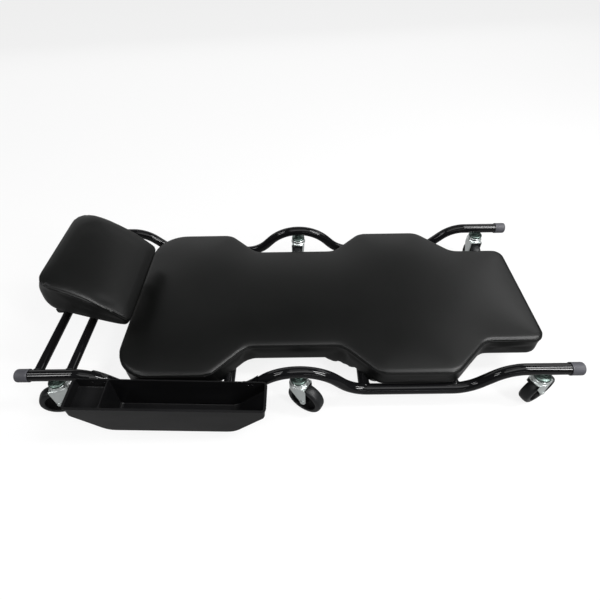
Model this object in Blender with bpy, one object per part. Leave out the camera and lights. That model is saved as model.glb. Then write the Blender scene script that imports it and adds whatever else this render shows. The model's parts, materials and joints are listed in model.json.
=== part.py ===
# Mechanic's creeper: a bent tube frame on six swivel casters, with a padded deck,
# a tilting headrest and a tray that hangs on the right-hand rail.
# Metres. +X points to the feet, -Y to the occupant's right hand, +Z up.
import math

import bmesh
import bpy
from mathutils import Vector

# Clearances
GAP = 0.0003                 # between pieces that touch
PIN_CLEARANCE = 0.0003       # around pins and rods
COPE_CLEARANCE = 0.0008      # between a coped end and the bent rail it fits round

# Frame tubes
LENGTH = 1.200               # over the end caps
RAIL_SPACING = 0.486         # between the rails' centre lines
RAIL_RADIUS = 0.0127
TUBE_WALL = 0.0015
RAIL_DROP = 0.072            # from the caster height down to the deck height
RAIL_SLOPE = math.radians(45)
RAIL_BEND = 0.085            # bend radii on the centre line
HUMP_BEND = 0.115
HUMP_HALF = 0.048            # middle of the hump to its bend corner
END_RUN = 0.152              # cap tip to the first bend corner
HEAD_TUBE_RADIUS = 0.0095
HEAD_TUBE_SETBACKS = (0.042, 0.111)         # from the head end cap's tip
DECK_TUBE_SHIFTS = (-0.027, 0.040, 0.027)   # from the rail's low bend corners
CAP_RADIUS = 0.0145
CAP_LENGTH = 0.028
CAP_END = 0.003
CAP_ROUND = 0.003
TUBE_SIDES = 12
BEND_STEPS = 3

# Casters
CASTER_INSET = 0.0745        # end casters from the cap tips
WHEEL_RADIUS = 0.042
WHEEL_WIDTH = 0.026
TREAD_CROWN = 0.004
RIM_DEPTH = 0.011
RIM_DRAFT = 0.0015
DISH_DEPTH = 0.0065
HUB_RADIUS = 0.010
HUB_WIDTH = 0.0284
WHEEL_SIDES = 18
AXLE_RADIUS = 0.004
AXLE_HEAD_RADIUS = 0.0058
AXLE_HEAD_HEIGHT = 0.0018
FORK_PLATE = 0.0025
FORK_TIP = 0.007             # half width of a fork leg at the axle
FORK_SHOULDER = 0.010        # depth of the leg's full-width part
FORK_KNEE = 0.006
FORK_HEEL = 0.003            # crown past the upper race, on the side away from the wheel
CASTER_TRAIL = 0.018
CROWN_CLEARANCE = 0.0055
BALL_RADIUS = 0.0024
BALL_CLEARANCE = 0.0004
KINGPIN_RADIUS = 0.005
KINGPIN_HEAD_RADIUS = 0.008
KINGPIN_HEAD_HEIGHT = 0.0025
CUP_RADIUS = 0.017
CUP_WALL = 0.002
CUP_SKIRT_GAP = 0.0012       # open ring between the cup and the fork crown
POST_RADIUS = 0.007
POST_LENGTH = 0.0162
CASTER_YAWS = {              # direction in which each wheel trails, in degrees from +X
    "head_right": -163, "mid_right": -31, "foot_right": 27,
    "head_left": -112, "mid_left": -98, "foot_left": -88,
}

# Deck
BOARD_THICKNESS = 0.010
BOARD_INSET = 0.012          # cushion edge to board edge
SKIRT_DROP = 0.0095          # cushion skirt below the board's top
SEAM_HEIGHT = 0.037          # seam above the board's top
CUSHION_CROWN = 0.0075
CUSHION_INSETS = (0.004, 0.016, 0.042, 0.075)   # from the seam to rings of the crowned top
CUSHION_SHARES = (0.35, 0.66, 0.92, 1.0)        # of the crown's height at those rings
CUSHION_ROLL = 0.004         # height of the rolls at the skirt and under the seam
SIDE_DRAW = 0.004            # sides drawn in between skirt and seam
WAIST_CLEARANCE = 0.01585    # cushion to the swept circle of the casters
FOOT_CLEARANCE = 0.02285
FOOT_END_SETBACK = 0.0325    # cap tips to the cushion's foot end
FOOT_SHOULDER = 0.031        # wide corners from the rails' low bend corners
WAIST_SHOULDERS = (0.056, 0.074)
HEAD_OVERHANG = 0.034
HEAD_CORNER = 0.072
FOOT_CORNER = 0.028
SHOULDER_CORNER = 0.045
WAIST_CORNER = 0.040
LEAST_CORNER = 0.0024        # of the outline when it is moved inwards
OUTLINE_STEPS = 4

# Headrest, described flat: lengths run from the nose, heights up from the underside
HEADREST_TILT = math.radians(24.4)
HEADREST_LENGTH = 0.197
HEADREST_HALF_WIDTH = 0.128
HEADREST_NOSE = 0.023
HEADREST_THICKNESS = 0.071
HEADREST_ROLL = 0.008        # seam's fall from its highest place to the head end
HEADREST_CROWN = 0.008
HEADREST_CORNER = 0.018
HEADREST_HEAD_CORNER = 0.030
HEADREST_HEEL = 0.014        # underside pulled in at the head end
HEADREST_NOSE_DRAW = 0.006   # underside pulled in at the nose
HEADREST_END_BULGE = 0.003   # head end pushed out at half its height
HEADREST_TOP = ((0.026, 0.15, 1.4, 1.0), (0.104, 0.60, 1.8, 1.25), (0.233, 0.90, 1.7, 1.2),
                (0.36, 1.0, 1.0, 0.7))
# rings of the crowned top: inset as a share of the length, then shares of the crown and of the two corners
HEADREST_BOARD_INSETS = (0.012, 0.030)   # from the nose and from the head end
HINGE_SETBACK = 0.0175       # hinge axis behind the nose
HINGE_DROP = 0.008           # hinge axis under the board
HINGE_RISE = 0.0069          # hinge axis above the head tubes' tops
HINGE_REACH = 0.0825         # hinge axis from the inner head tube
HINGE_ROD_RADIUS = 0.0035
HINGE_EYE = 0.007
HINGE_HEAD_RADIUS = 0.006
HINGE_HEAD_HEIGHT = 0.004
CARRIER_OFFSET = 0.062       # carrier plates from the middle line
CARRIER_PLATE = 0.005
CARRIER_HEIGHT = 0.015
CARRIER_TAIL = 0.026         # past the outer head tube
CARRIER_TOP = 0.0045         # above the head tubes' tops
CARRIER_CORNER = 0.004
CARRIER_NECK = 0.020         # run from the straight part to the hinge eye
WASHER_THICKNESS = 0.002
EAR_PLATE = 0.003
EAR_LENGTH = 0.045
EAR_FLANGE = 0.020
EAR_BEND = 0.012
REST_PAD_RADIUS = 0.007
REST_PAD_ROUND = 0.002
REST_PAD_INSET = 0.012       # from the headrest board's head edge
REST_PAD_CLEARANCE = 0.0005

# Tray, described level: lengths from its head end, depths from the rim
TRAY_LENGTH = 0.405
TRAY_WIDTH = 0.072
TRAY_DEPTH = 0.098
TRAY_WALL = 0.0025
TRAY_SKIRT = 0.0035          # walls under the shallow compartment
TRAY_LIP = 0.003
TRAY_TILT = math.radians(3.4)
TRAY_RIM_RISE = 0.013        # head end of the rim above the rails' high centre line
TRAY_HEAD_REACH = 0.022      # past the rails' head bend corner
TRAY_HEAD_DROP = 0.035       # upright part of the end walls
TRAY_FOOT_DROP = 0.032
TRAY_BILGE = 0.040           # round between sloped end and floor
TRAY_KNUCKLE = 0.010
TRAY_EDGE = 0.006
TRAY_DIVIDER = 0.073
TRAY_SHALLOW = 0.027
TRAY_CORNER = 0.010
HOOK_PLATE = 0.0024
HOOK_CLEARANCE = 0.0006      # saddle to the rail
HOOK_TONGUE = 0.004          # saddle's inner side below the rail's centre
HOOK_RIM_DROP = 0.003
HOOK_STEPS = 6
HEAD_HOOK_SPAN = (0.028, 0.072)     # from the tray's head end
FOOT_HOOK_SPAN = (0.053, 0.025)     # from the tray's foot end

# Heights and places that follow from the sizes above
CROWN_BOTTOM = 2 * WHEEL_RADIUS + CROWN_CLEARANCE
CROWN_TOP = CROWN_BOTTOM + FORK_PLATE
CUP_BOTTOM = CROWN_TOP + 2 * (BALL_RADIUS + BALL_CLEARANCE)
CUP_TOP = CUP_BOTTOM + CUP_WALL
RAIL_HIGH = CUP_TOP + POST_LENGTH + RAIL_RADIUS
RAIL_LOW = RAIL_HIGH - RAIL_DROP
RAIL_Y = RAIL_SPACING / 2
SLOPE_RUN = RAIL_DROP / math.tan(RAIL_SLOPE)
END_BEND = LENGTH / 2 - END_RUN
END_LOW = END_BEND - SLOPE_RUN
HUMP_LOW = HUMP_HALF + SLOPE_RUN
HEAD_TUBE_X = [setback - LENGTH / 2 for setback in HEAD_TUBE_SETBACKS]
DECK_TUBE_X = [-END_LOW - DECK_TUBE_SHIFTS[0], -HUMP_LOW - DECK_TUBE_SHIFTS[1],
               HUMP_LOW + DECK_TUBE_SHIFTS[2], END_LOW + DECK_TUBE_SHIFTS[0]]
FORK_HALF = HUB_WIDTH / 2 + GAP + FORK_PLATE
FORK_REAR = CUP_RADIUS + FORK_HEEL
CASTER_SWEEP = math.hypot(CASTER_TRAIL + WHEEL_RADIUS, WHEEL_WIDTH / 2)
BOARD_BOTTOM = RAIL_LOW + RAIL_RADIUS + GAP
BOARD_TOP = BOARD_BOTTOM + BOARD_THICKNESS
HEAD_TUBE_TOP = RAIL_HIGH + HEAD_TUBE_RADIUS
HINGE = Vector((HEAD_TUBE_X[1] + HINGE_REACH, 0, HEAD_TUBE_TOP + HINGE_RISE))
TRAY_BACK = -(RAIL_Y + RAIL_RADIUS + HOOK_CLEARANCE + HOOK_PLATE + GAP)
TRAY_HEAD_X = -(END_BEND + TRAY_HEAD_REACH)
TRAY_RIM = RAIL_HIGH + TRAY_RIM_RISE
LEFT_YAWS = [math.radians(yaw) for name, yaw in CASTER_YAWS.items() if name.endswith("left")]
LEFT_REACH = RAIL_Y + max(CAP_RADIUS, *(FORK_REAR * abs(math.sin(yaw)) + FORK_HALF * abs(math.cos(yaw))
                                        for yaw in LEFT_YAWS))
SHIFT_Y = -(TRAY_BACK - TRAY_WIDTH + LEFT_REACH) / 2   # brings the middle of the whole width to zero

FINISHES = {                 # colour, roughness, metallic
    "black_enamel": ((0.012, 0.012, 0.013), 0.22, 0.0),
    "grey_vinyl": ((0.060, 0.060, 0.062), 0.55, 0.0),
    "black_vinyl": ((0.020, 0.020, 0.022), 0.42, 0.0),
    "plywood": ((0.420, 0.300, 0.180), 0.70, 0.0),
    "bright_zinc": ((0.720, 0.740, 0.750), 0.28, 1.0),
    "dark_rubber": ((0.035, 0.035, 0.037), 0.60, 0.0),
    "tray_plastic": ((0.022, 0.022, 0.024), 0.38, 0.0),
    "nylon": ((0.550, 0.540, 0.500), 0.50, 0.0),
    "steel": ((0.500, 0.510, 0.520), 0.35, 1.0),
}

X_AXIS, Y_AXIS, Z_AXIS = Vector((1, 0, 0)), Vector((0, 1, 0)), Vector((0, 0, 1))
RING_AXES = {"X": (Y_AXIS, Z_AXIS, X_AXIS), "Y": (Z_AXIS, X_AXIS, Y_AXIS), "Z": (X_AXIS, Y_AXIS, Z_AXIS)}


def rounded(points, radii, steps, closed=True):
    """Corner points joined by straight runs, with an arc of each corner's radius."""
    result = []
    last = len(points) - 1
    for i, (point, radius) in enumerate(zip(points, radii)):
        here = Vector(point)
        if radius <= 0 or (not closed and i in (0, last)):
            result.append(here)
            continue
        before = (Vector(points[i - 1]) - here).normalized()
        after = (Vector(points[(i + 1) % (last + 1)]) - here).normalized()
        half = before.angle(after) / 2
        centre = here + (before + after).normalized() * (radius / math.sin(half))
        start = here + before * (radius / math.tan(half)) - centre
        end = here + after * (radius / math.tan(half)) - centre
        first = math.atan2(start.y, start.x)
        turn = (math.atan2(end.y, end.x) - first + math.pi) % (2 * math.pi) - math.pi
        for k in range(steps + 1):
            angle = first + turn * k / steps
            result.append(centre + radius * Vector((math.cos(angle), math.sin(angle))))
    return result


def inset(points, distance):
    """Anticlockwise corner points with every side moved inwards by the distance."""
    result = []
    for i, point in enumerate(points):
        here = Vector(point)
        before = (here - Vector(points[i - 1])).normalized()
        after = (Vector(points[(i + 1) % len(points)]) - here).normalized()
        inward = [Vector((-side.y, side.x)) for side in (before, after)]
        result.append(here + (inward[0] + inward[1]) * (distance / (1 + inward[0].dot(inward[1]))))
    return result


def add_ring(bm, centre, radius, sides, axis):
    across, upward, _ = RING_AXES[axis]
    angles = [2 * math.pi * k / sides for k in range(sides)]
    return [bm.verts.new(centre + radius * (math.cos(a) * across + math.sin(a) * upward)) for a in angles]


def skin(bm, rings, closed=False, capped=False):
    """Faces between rings of as many vertices, with the last joined to the first or both ends capped."""
    pairs = list(zip(rings, rings[1:]))
    if closed:
        pairs.append((rings[-1], rings[0]))
    for low, high in pairs:
        for i, vertex in enumerate(low):
            j = (i + 1) % len(low)
            bm.faces.new((vertex, low[j], high[j], high[i]))
    if capped:
        bm.faces.new(rings[0])
        bm.faces.new(rings[-1])


def turned(bm, profile, sides, axis, centre=Vector(), closed=False):
    """A profile of radii and places along the axis, turned about it."""
    along = RING_AXES[axis][2]
    rings = [add_ring(bm, centre + along * place, radius, sides, axis) for radius, place in profile]
    skin(bm, rings, closed=closed, capped=not closed)


def prism(bm, outline, start, end, plane):
    """An outline in the named plane, extruded across it."""
    place = {
        "XY": lambda point, depth: (point[0], point[1], depth),
        "XZ": lambda point, depth: (point[0], depth, point[1]),
        "YZ": lambda point, depth: (depth, point[0], point[1]),
    }[plane]
    rings = [[bm.verts.new(place(point, depth)) for point in outline] for depth in (start, end)]
    skin(bm, rings, capped=True)


def to_mesh(bm):
    bmesh.ops.recalc_face_normals(bm, faces=bm.faces)
    mesh = bpy.data.meshes.new("shape")
    bm.to_mesh(mesh)
    bm.free()
    return mesh


def combined(mesh, tool, operation):
    """The mesh cut by, joined to or kept within the tool mesh."""
    base = bpy.data.objects.new("base", mesh)
    cutter = bpy.data.objects.new("cutter", tool)
    for helper in (base, cutter):
        bpy.context.collection.objects.link(helper)
    modifier = base.modifiers.new("combine", "BOOLEAN")
    modifier.operation = operation
    modifier.object = cutter
    depsgraph = bpy.context.evaluated_depsgraph_get()
    result = bpy.data.meshes.new_from_object(base.evaluated_get(depsgraph))
    for helper in (base, cutter):
        bpy.data.objects.remove(helper)
    return result


def drilled(mesh, holes, axis, start, end, radius, sides=8):
    """The mesh with round holes along the axis, from start to end, at the given centres."""
    bm = bmesh.new()
    for hole in holes:
        turned(bm, [(radius, start), (radius, end)], sides, axis, Vector(hole))
    return combined(mesh, to_mesh(bm), "DIFFERENCE")


def piece(name, mesh, finish, parent, location=(0, 0, 0)):
    """A named object with its own material, shaded smooth across its round faces."""
    colour, roughness, metallic = FINISHES[finish]
    material = bpy.data.materials.new(name)
    material.use_nodes = True
    shader = material.node_tree.nodes["Principled BSDF"]
    shader.inputs["Base Color"].default_value = (*colour, 1)
    shader.inputs["Roughness"].default_value = roughness
    shader.inputs["Metallic"].default_value = metallic
    mesh = mesh.copy()
    mesh.name = name
    mesh.materials.clear()
    mesh.materials.append(material)
    mesh.shade_smooth()
    mesh.set_sharp_from_angle(angle=math.radians(40))
    thing = bpy.data.objects.new(name, mesh)
    bpy.context.collection.objects.link(thing)
    thing.parent = parent
    thing.location = location
    return thing


def empty(name, parent, location=(0, 0, 0), rotation=(0, 0, 0)):
    thing = bpy.data.objects.new(name, None)
    bpy.context.collection.objects.link(thing)
    thing.parent = parent
    thing.location = location
    thing.rotation_euler = rotation
    return thing


# Frame

def rail_path():
    """Centre line of a rail in X and Z: high at the casters, low beside the deck."""
    tube_end = LENGTH / 2 - CAP_END - GAP
    half = [(HUMP_HALF, RAIL_HIGH, HUMP_BEND), (HUMP_LOW, RAIL_LOW, RAIL_BEND),
            (END_LOW, RAIL_LOW, RAIL_BEND), (END_BEND, RAIL_HIGH, RAIL_BEND), (tube_end, RAIL_HIGH, 0)]
    corners = [(-x, z, bend) for x, z, bend in reversed(half)] + half
    return rounded([corner[:2] for corner in corners], [corner[2] for corner in corners], BEND_STEPS, False)


def path_normal(path, i):
    along = (path[min(i + 1, len(path) - 1)] - path[max(i - 1, 0)]).normalized()
    return Vector((-along.y, along.x))


def rail_at(path, x, offset=0):
    """Height at a place along the rail of its centre line moved square to itself by an offset."""
    line = [point + offset * path_normal(path, i) for i, point in enumerate(path)]
    for start, end in zip(line, line[1:]):
        if start.x <= x <= end.x:
            return start.y + (end.y - start.y) * (x - start.x) / (end.x - start.x)
    raise ValueError("place outside the rail")


def make_rails(root, path):
    for side, y in (("right", -RAIL_Y), ("left", RAIL_Y)):
        bm = bmesh.new()
        walls = {RAIL_RADIUS: [], RAIL_RADIUS - TUBE_WALL: []}
        for i, point in enumerate(path):
            normal = path_normal(path, i)
            upward = Vector((normal.x, 0, normal.y))
            centre = Vector((point.x, y, point.y))
            for radius, rings in walls.items():
                angles = [2 * math.pi * k / TUBE_SIDES for k in range(TUBE_SIDES)]
                rings.append([bm.verts.new(centre + radius * (math.cos(a) * Y_AXIS + math.sin(a) * upward))
                              for a in angles])
        outer, inner = walls.values()
        skin(bm, outer + inner[::-1], closed=True)
        piece(f"{side}_rail", to_mesh(bm), "black_enamel", root)


def make_end_caps(root):
    bore = RAIL_RADIUS + GAP
    tip = LENGTH / 2
    for end, sign in (("head", -1), ("foot", 1)):
        for side, y in (("right", -RAIL_Y), ("left", RAIL_Y)):
            profile = [(bore, tip - CAP_END), (bore, tip - CAP_LENGTH), (CAP_RADIUS, tip - CAP_LENGTH),
                       (CAP_RADIUS, tip - CAP_ROUND), (CAP_RADIUS - CAP_ROUND * 0.3, tip - CAP_ROUND * 0.3),
                       (CAP_RADIUS - CAP_ROUND, tip)]
            bm = bmesh.new()
            turned(bm, [(r, sign * x) for r, x in profile], TUBE_SIDES, "X", Vector((0, y, RAIL_HIGH)))
            piece(f"{end}_{side}_end_cap", to_mesh(bm), "grey_vinyl", root)


def cross_tube(path, x, z, radius):
    """A tube between the rails, its ends coped to fit round them."""
    bm = bmesh.new()
    reach = RAIL_RADIUS + COPE_CLEARANCE
    walls = []
    for wall_radius in (radius, radius - TUBE_WALL):
        rings = []
        for side in (-1, 1):
            ring = add_ring(bm, Vector((x, 0, z)), wall_radius, TUBE_SIDES, "Y")
            for vertex in ring:
                centre = rail_at(path, vertex.co.x)
                edge = rail_at(path, vertex.co.x, math.copysign(RAIL_RADIUS, vertex.co.z - centre))
                rise = RAIL_RADIUS * (vertex.co.z - centre) / (edge - centre)
                vertex.co.y = side * (RAIL_Y - math.sqrt(max(reach ** 2 - rise ** 2, 0)))
            rings.append(ring)
        walls.append(rings)
    skin(bm, walls[0] + walls[1][::-1], closed=True)
    return to_mesh(bm)


def make_cross_tubes(root, path):
    for name, x in zip(("outer", "inner"), HEAD_TUBE_X):
        piece(f"{name}_head_tube", cross_tube(path, x, RAIL_HIGH, HEAD_TUBE_RADIUS), "black_enamel", root)
    for number, x in enumerate(DECK_TUBE_X, 1):
        piece(f"deck_tube_{number}", cross_tube(path, x, RAIL_LOW, RAIL_RADIUS), "black_enamel", root)


# Deck

def deck_outline(distance):
    """Outline of the deck, moved inwards by a distance: wide by the low rails, narrow by the casters."""
    wide = RAIL_Y
    waist = RAIL_Y - CASTER_SWEEP - WAIST_CLEARANCE
    foot = RAIL_Y - CASTER_SWEEP - FOOT_CLEARANCE
    foot_wide = END_LOW - FOOT_SHOULDER
    foot_waist = HUMP_LOW + WAIST_SHOULDERS[0]
    head_waist = -HUMP_LOW - WAIST_SHOULDERS[1]
    half = [(LENGTH / 2 - FOOT_END_SETBACK, foot, FOOT_CORNER),
            (foot_wide + wide - foot, foot, -WAIST_CORNER), (foot_wide, wide, SHOULDER_CORNER),
            (foot_waist, wide, SHOULDER_CORNER), (foot_waist - wide + waist, waist, -WAIST_CORNER),
            (head_waist + wide - waist, waist, -WAIST_CORNER), (head_waist, wide, SHOULDER_CORNER),
            (-END_LOW - HEAD_OVERHANG, wide, HEAD_CORNER)]
    corners = half + [(x, -y, bend) for x, y, bend in reversed(half)]
    radii = [max(abs(bend) - math.copysign(distance, bend), LEAST_CORNER) for _, _, bend in corners]
    return rounded(inset([corner[:2] for corner in corners], distance), radii, OUTLINE_STEPS)


def make_deck(root):
    bm = bmesh.new()
    prism(bm, deck_outline(BOARD_INSET), BOARD_BOTTOM, BOARD_TOP, "XY")
    piece("deck_board", to_mesh(bm), "plywood", root)

    skirt = BOARD_TOP - SKIRT_DROP
    seam = BOARD_TOP + SEAM_HEIGHT
    pocket = BOARD_INSET - GAP
    levels = [(pocket, BOARD_TOP + GAP), (pocket, skirt), (SIDE_DRAW, skirt),
              (SIDE_DRAW * 0.3, skirt + CUSHION_ROLL), (SIDE_DRAW, (skirt + seam) / 2),
              (SIDE_DRAW * 0.5, seam - CUSHION_ROLL), (0, seam)]
    levels += [(distance, seam + CUSHION_CROWN * share)
               for distance, share in zip(CUSHION_INSETS, CUSHION_SHARES)]
    bm = bmesh.new()
    rings = [[bm.verts.new((point.x, point.y, z)) for point in deck_outline(distance)]
             for distance, z in levels]
    skin(bm, rings, capped=True)
    piece("deck_cushion", to_mesh(bm), "black_vinyl", root)


# Headrest, in a frame on its hinge axis: +X to the feet and +Z out of the board's top

def make_carriers(root):
    """Plates on edge that sit on both head tubes and hold the hinge rod."""
    top = HEAD_TUBE_TOP + CARRIER_TOP
    bottom = top - CARRIER_HEIGHT
    tail = HEAD_TUBE_X[0] - CARRIER_TAIL
    eye_top, eye_bottom, eye_end = HINGE.z + HINGE_EYE, HINGE.z - HINGE_EYE, HINGE.x + HINGE_EYE
    corners = [(tail, bottom, CARRIER_CORNER), (HEAD_TUBE_X[1] + CARRIER_NECK, bottom, CARRIER_NECK),
               (HINGE.x - CARRIER_NECK, eye_bottom, CARRIER_NECK), (eye_end, eye_bottom, HINGE_EYE * 0.96),
               (eye_end, eye_top, HINGE_EYE * 0.96), (HINGE.x - HINGE_EYE, eye_top, CARRIER_CORNER),
               (HINGE.x - CARRIER_NECK, top, CARRIER_CORNER), (tail, top, CARRIER_CORNER)]
    outline = rounded([corner[:2] for corner in corners], [corner[2] for corner in corners], 4)
    for side, y in (("right", -CARRIER_OFFSET), ("left", CARRIER_OFFSET)):
        faces = (y - CARRIER_PLATE / 2, y + CARRIER_PLATE / 2)
        bm = bmesh.new()
        prism(bm, outline, *faces, "XZ")
        mesh = drilled(to_mesh(bm), [(x, 0, RAIL_HIGH) for x in HEAD_TUBE_X], "Y", faces[0] - CARRIER_PLATE,
                       faces[1] + CARRIER_PLATE, HEAD_TUBE_RADIUS + GAP, 12)
        mesh = drilled(mesh, [(HINGE.x, 0, HINGE.z)], "Y", faces[0] - CARRIER_PLATE,
                       faces[1] + CARRIER_PLATE, HINGE_ROD_RADIUS + PIN_CLEARANCE, 12)
        piece(f"{side}_headrest_carrier", mesh, "black_enamel", root)


def make_hinge_rod(root):
    seat = CARRIER_OFFSET + CARRIER_PLATE / 2 + GAP
    profile = [(HINGE_HEAD_RADIUS, -seat - HINGE_HEAD_HEIGHT), (HINGE_HEAD_RADIUS, -seat),
               (HINGE_ROD_RADIUS, -seat), (HINGE_ROD_RADIUS, seat), (HINGE_HEAD_RADIUS, seat),
               (HINGE_HEAD_RADIUS, seat + HINGE_HEAD_HEIGHT)]
    bm = bmesh.new()
    turned(bm, profile, 12, "Y", HINGE)
    piece("hinge_rod", to_mesh(bm), "bright_zinc", root)
    bore = HINGE_ROD_RADIUS + PIN_CLEARANCE
    face = CARRIER_OFFSET - CARRIER_PLATE / 2 - GAP
    for side, sign in (("right", -1), ("left", 1)):
        ends = (sign * face, sign * (face - WASHER_THICKNESS))
        bm = bmesh.new()
        turned(bm, [(bore, ends[0]), (HINGE_EYE, ends[0]), (HINGE_EYE, ends[1]), (bore, ends[1])], 12, "Y",
               HINGE, closed=True)
        piece(f"{side}_friction_washer", to_mesh(bm), "nylon", root)


def make_hinge_ears(tilt):
    """Angle brackets on the board's underside that turn on the hinge rod."""
    seat = HINGE_DROP - GAP
    outer = CARRIER_OFFSET - CARRIER_PLATE / 2 - WASHER_THICKNESS - 2 * GAP
    corners = [(-EAR_LENGTH, seat, 0), (-EAR_LENGTH, seat - EAR_PLATE, 0),
               (-EAR_LENGTH / 2, -HINGE_EYE, EAR_BEND), (HINGE_EYE, -HINGE_EYE, HINGE_EYE * 0.96),
               (HINGE_EYE, seat, HINGE_EYE * 0.9)]
    outline = rounded([corner[:2] for corner in corners], [corner[2] for corner in corners], 4)
    flange_end = -HINGE_EYE - PIN_CLEARANCE
    for side, sign in (("right", -1), ("left", 1)):
        bm = bmesh.new()
        prism(bm, outline, sign * outer, sign * (outer - EAR_PLATE), "XZ")
        ear = to_mesh(bm)
        bm = bmesh.new()
        reach = (sign * (outer - EAR_PLATE / 2), sign * (outer - EAR_FLANGE))
        flange = [(-EAR_LENGTH, reach[0]), (flange_end, reach[0]), (flange_end, reach[1]),
                  (-EAR_LENGTH, reach[1])]
        prism(bm, flange, seat - EAR_PLATE, seat, "XY")
        ear = combined(ear, to_mesh(bm), "UNION")
        ear = drilled(ear, [Vector()], "Y", sign * (outer - 2 * EAR_PLATE), sign * (outer + EAR_PLATE),
                      HINGE_ROD_RADIUS + PIN_CLEARANCE, 12)
        piece(f"{side}_hinge_ear", ear, "black_enamel", tilt)


def make_headrest_board(tilt):
    bm = bmesh.new()
    prism(bm, headrest_board_outline(0), HINGE_DROP, HINGE_DROP + BOARD_THICKNESS, "XY")
    piece("headrest_board", to_mesh(bm), "plywood", tilt)

    pad_x = HINGE_SETBACK - HEADREST_LENGTH + HEADREST_BOARD_INSETS[1] + REST_PAD_INSET
    pad_bottom = HEAD_TUBE_TOP + CARRIER_TOP + REST_PAD_CLEARANCE - HINGE.z
    for side, sign in (("right", -1), ("left", 1)):
        bm = bmesh.new()
        turned(bm, [(REST_PAD_RADIUS * 0.8, pad_bottom), (REST_PAD_RADIUS, pad_bottom + REST_PAD_ROUND),
                    (REST_PAD_RADIUS, HINGE_DROP - GAP)], 12, "Z",
               Vector((pad_x, sign * CARRIER_OFFSET, 0)))
        piece(f"{side}_rest_pad", to_mesh(bm), "dark_rubber", tilt)


def headrest_board_outline(grow):
    nose = HINGE_SETBACK - HEADREST_BOARD_INSETS[0] + grow
    head = HINGE_SETBACK - HEADREST_LENGTH + HEADREST_BOARD_INSETS[1] - grow
    half = HEADREST_HALF_WIDTH - BOARD_INSET + grow
    corner = HEADREST_CORNER / 2 + grow
    return headrest_outline(nose, head, half, corner, corner)


def headrest_outline(nose, head, half, corner, head_corner):
    """A rounded rectangle whose long sides also have points between their corners."""
    between = [nose + (head - nose) * share for share in (0.25, 0.4, 0.55, 0.7, 0.85)]
    side = [(nose, half, corner)] + [(x, half, 0) for x in between] + [(head, half, head_corner)]
    corners = side + [(x, -y, bend) for x, y, bend in reversed(side)]
    return rounded([point[:2] for point in corners], [point[2] for point in corners], 4)


def headrest_rise(x):
    """Height of the cushion's seam above the board's underside: a wedge, thin at the nose and rolled
    off towards the head end."""
    along = (HINGE_SETBACK - x) / HEADREST_LENGTH
    wedge = math.sin(math.pi / 2 * max(0.0, min(1.0, along / 0.87))) ** 0.85
    fall = max(0.0, (along - 0.72) / 0.28) ** 2
    return HEADREST_NOSE + (HEADREST_THICKNESS - HEADREST_NOSE) * wedge - HEADREST_ROLL * fall


def make_headrest_cushion(tilt):
    nose, head = HINGE_SETBACK, HINGE_SETBACK - HEADREST_LENGTH
    half, corner, head_corner = HEADREST_HALF_WIDTH, HEADREST_CORNER, HEADREST_HEAD_CORNER
    bm = bmesh.new()
    rings = []
    for z in (HINGE_DROP + BOARD_THICKNESS + GAP, HINGE_DROP):
        rings.append([bm.verts.new((p.x, p.y, z)) for p in headrest_board_outline(GAP)])
    # Nose, head end and side pulled in by these distances, at these shares of the seam's height
    levels = [(HEADREST_NOSE_DRAW, HEADREST_HEEL, SIDE_DRAW, 0.0),
              (HEADREST_NOSE_DRAW / 2, HEADREST_HEEL * 0.42, SIDE_DRAW * 0.4, 0.14),
              (HEADREST_NOSE_DRAW / 3, -HEADREST_END_BULGE, SIDE_DRAW, 0.50),
              (HEADREST_NOSE_DRAW / 6, -HEADREST_END_BULGE / 3, SIDE_DRAW * 0.4, 0.88), (0, 0, 0, 0.95)]
    for at_nose, at_head, at_side, share in levels:
        outline = headrest_outline(nose - at_nose, head + at_head, half - at_side, corner, head_corner)
        rings.append([bm.verts.new((p.x, p.y, HINGE_DROP + share * headrest_rise(p.x))) for p in outline])
    for share, crown, bend, head_bend in HEADREST_TOP:
        distance = share * HEADREST_LENGTH
        outline = headrest_outline(nose - distance, head + distance, half - distance, bend * corner,
                                   head_bend * head_corner)
        rings.append([bm.verts.new((p.x, p.y, HINGE_DROP + headrest_rise(p.x) + crown * HEADREST_CROWN))
                      for p in outline])
    skin(bm, rings, capped=True)
    piece("headrest_cushion", to_mesh(bm), "black_vinyl", tilt)


# Tray, in a frame at the head end of its rim's back edge

def tray_body_profile(wall):
    """Side view of the tub, with its walls moved inwards by a distance."""
    head, foot = TRAY_LIP, TRAY_LENGTH - TRAY_LIP
    head_toe = head + TRAY_DEPTH - TRAY_HEAD_DROP
    foot_toe = foot - TRAY_DEPTH + TRAY_FOOT_DROP
    points = [(head, -TRAY_HEAD_DROP), (head_toe, -TRAY_DEPTH), (foot_toe, -TRAY_DEPTH),
              (foot, -TRAY_FOOT_DROP), (foot, 2 * TRAY_LIP), (head, 2 * TRAY_LIP)]
    radii = [TRAY_KNUCKLE - wall, TRAY_BILGE - wall, TRAY_BILGE - wall, TRAY_KNUCKLE - wall, 0, 0]
    return inset(points, wall), radii


def rounded_tub(points, radii, back, front, edge):
    """An upright outline carried from back to front, drawn in at both faces by a rounded edge."""
    top = max(point[1] for point in points)
    levels = [(back, edge), (back - edge * 0.3, edge * 0.3), (back - edge, 0),
              (front + edge, 0), (front + edge * 0.3, edge * 0.3), (front, edge)]
    bm = bmesh.new()
    rings = []
    for depth, distance in levels:
        corners = inset(points, distance)
        for corner, point in zip(corners, points):
            if point[1] == top:
                corner.y = top
        bends = [max(radius - distance, 0) for radius in radii]
        rings.append([bm.verts.new((p.x, depth, p.y)) for p in rounded(corners, bends, 4)])
    skin(bm, rings, capped=True)
    return to_mesh(bm)


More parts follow.
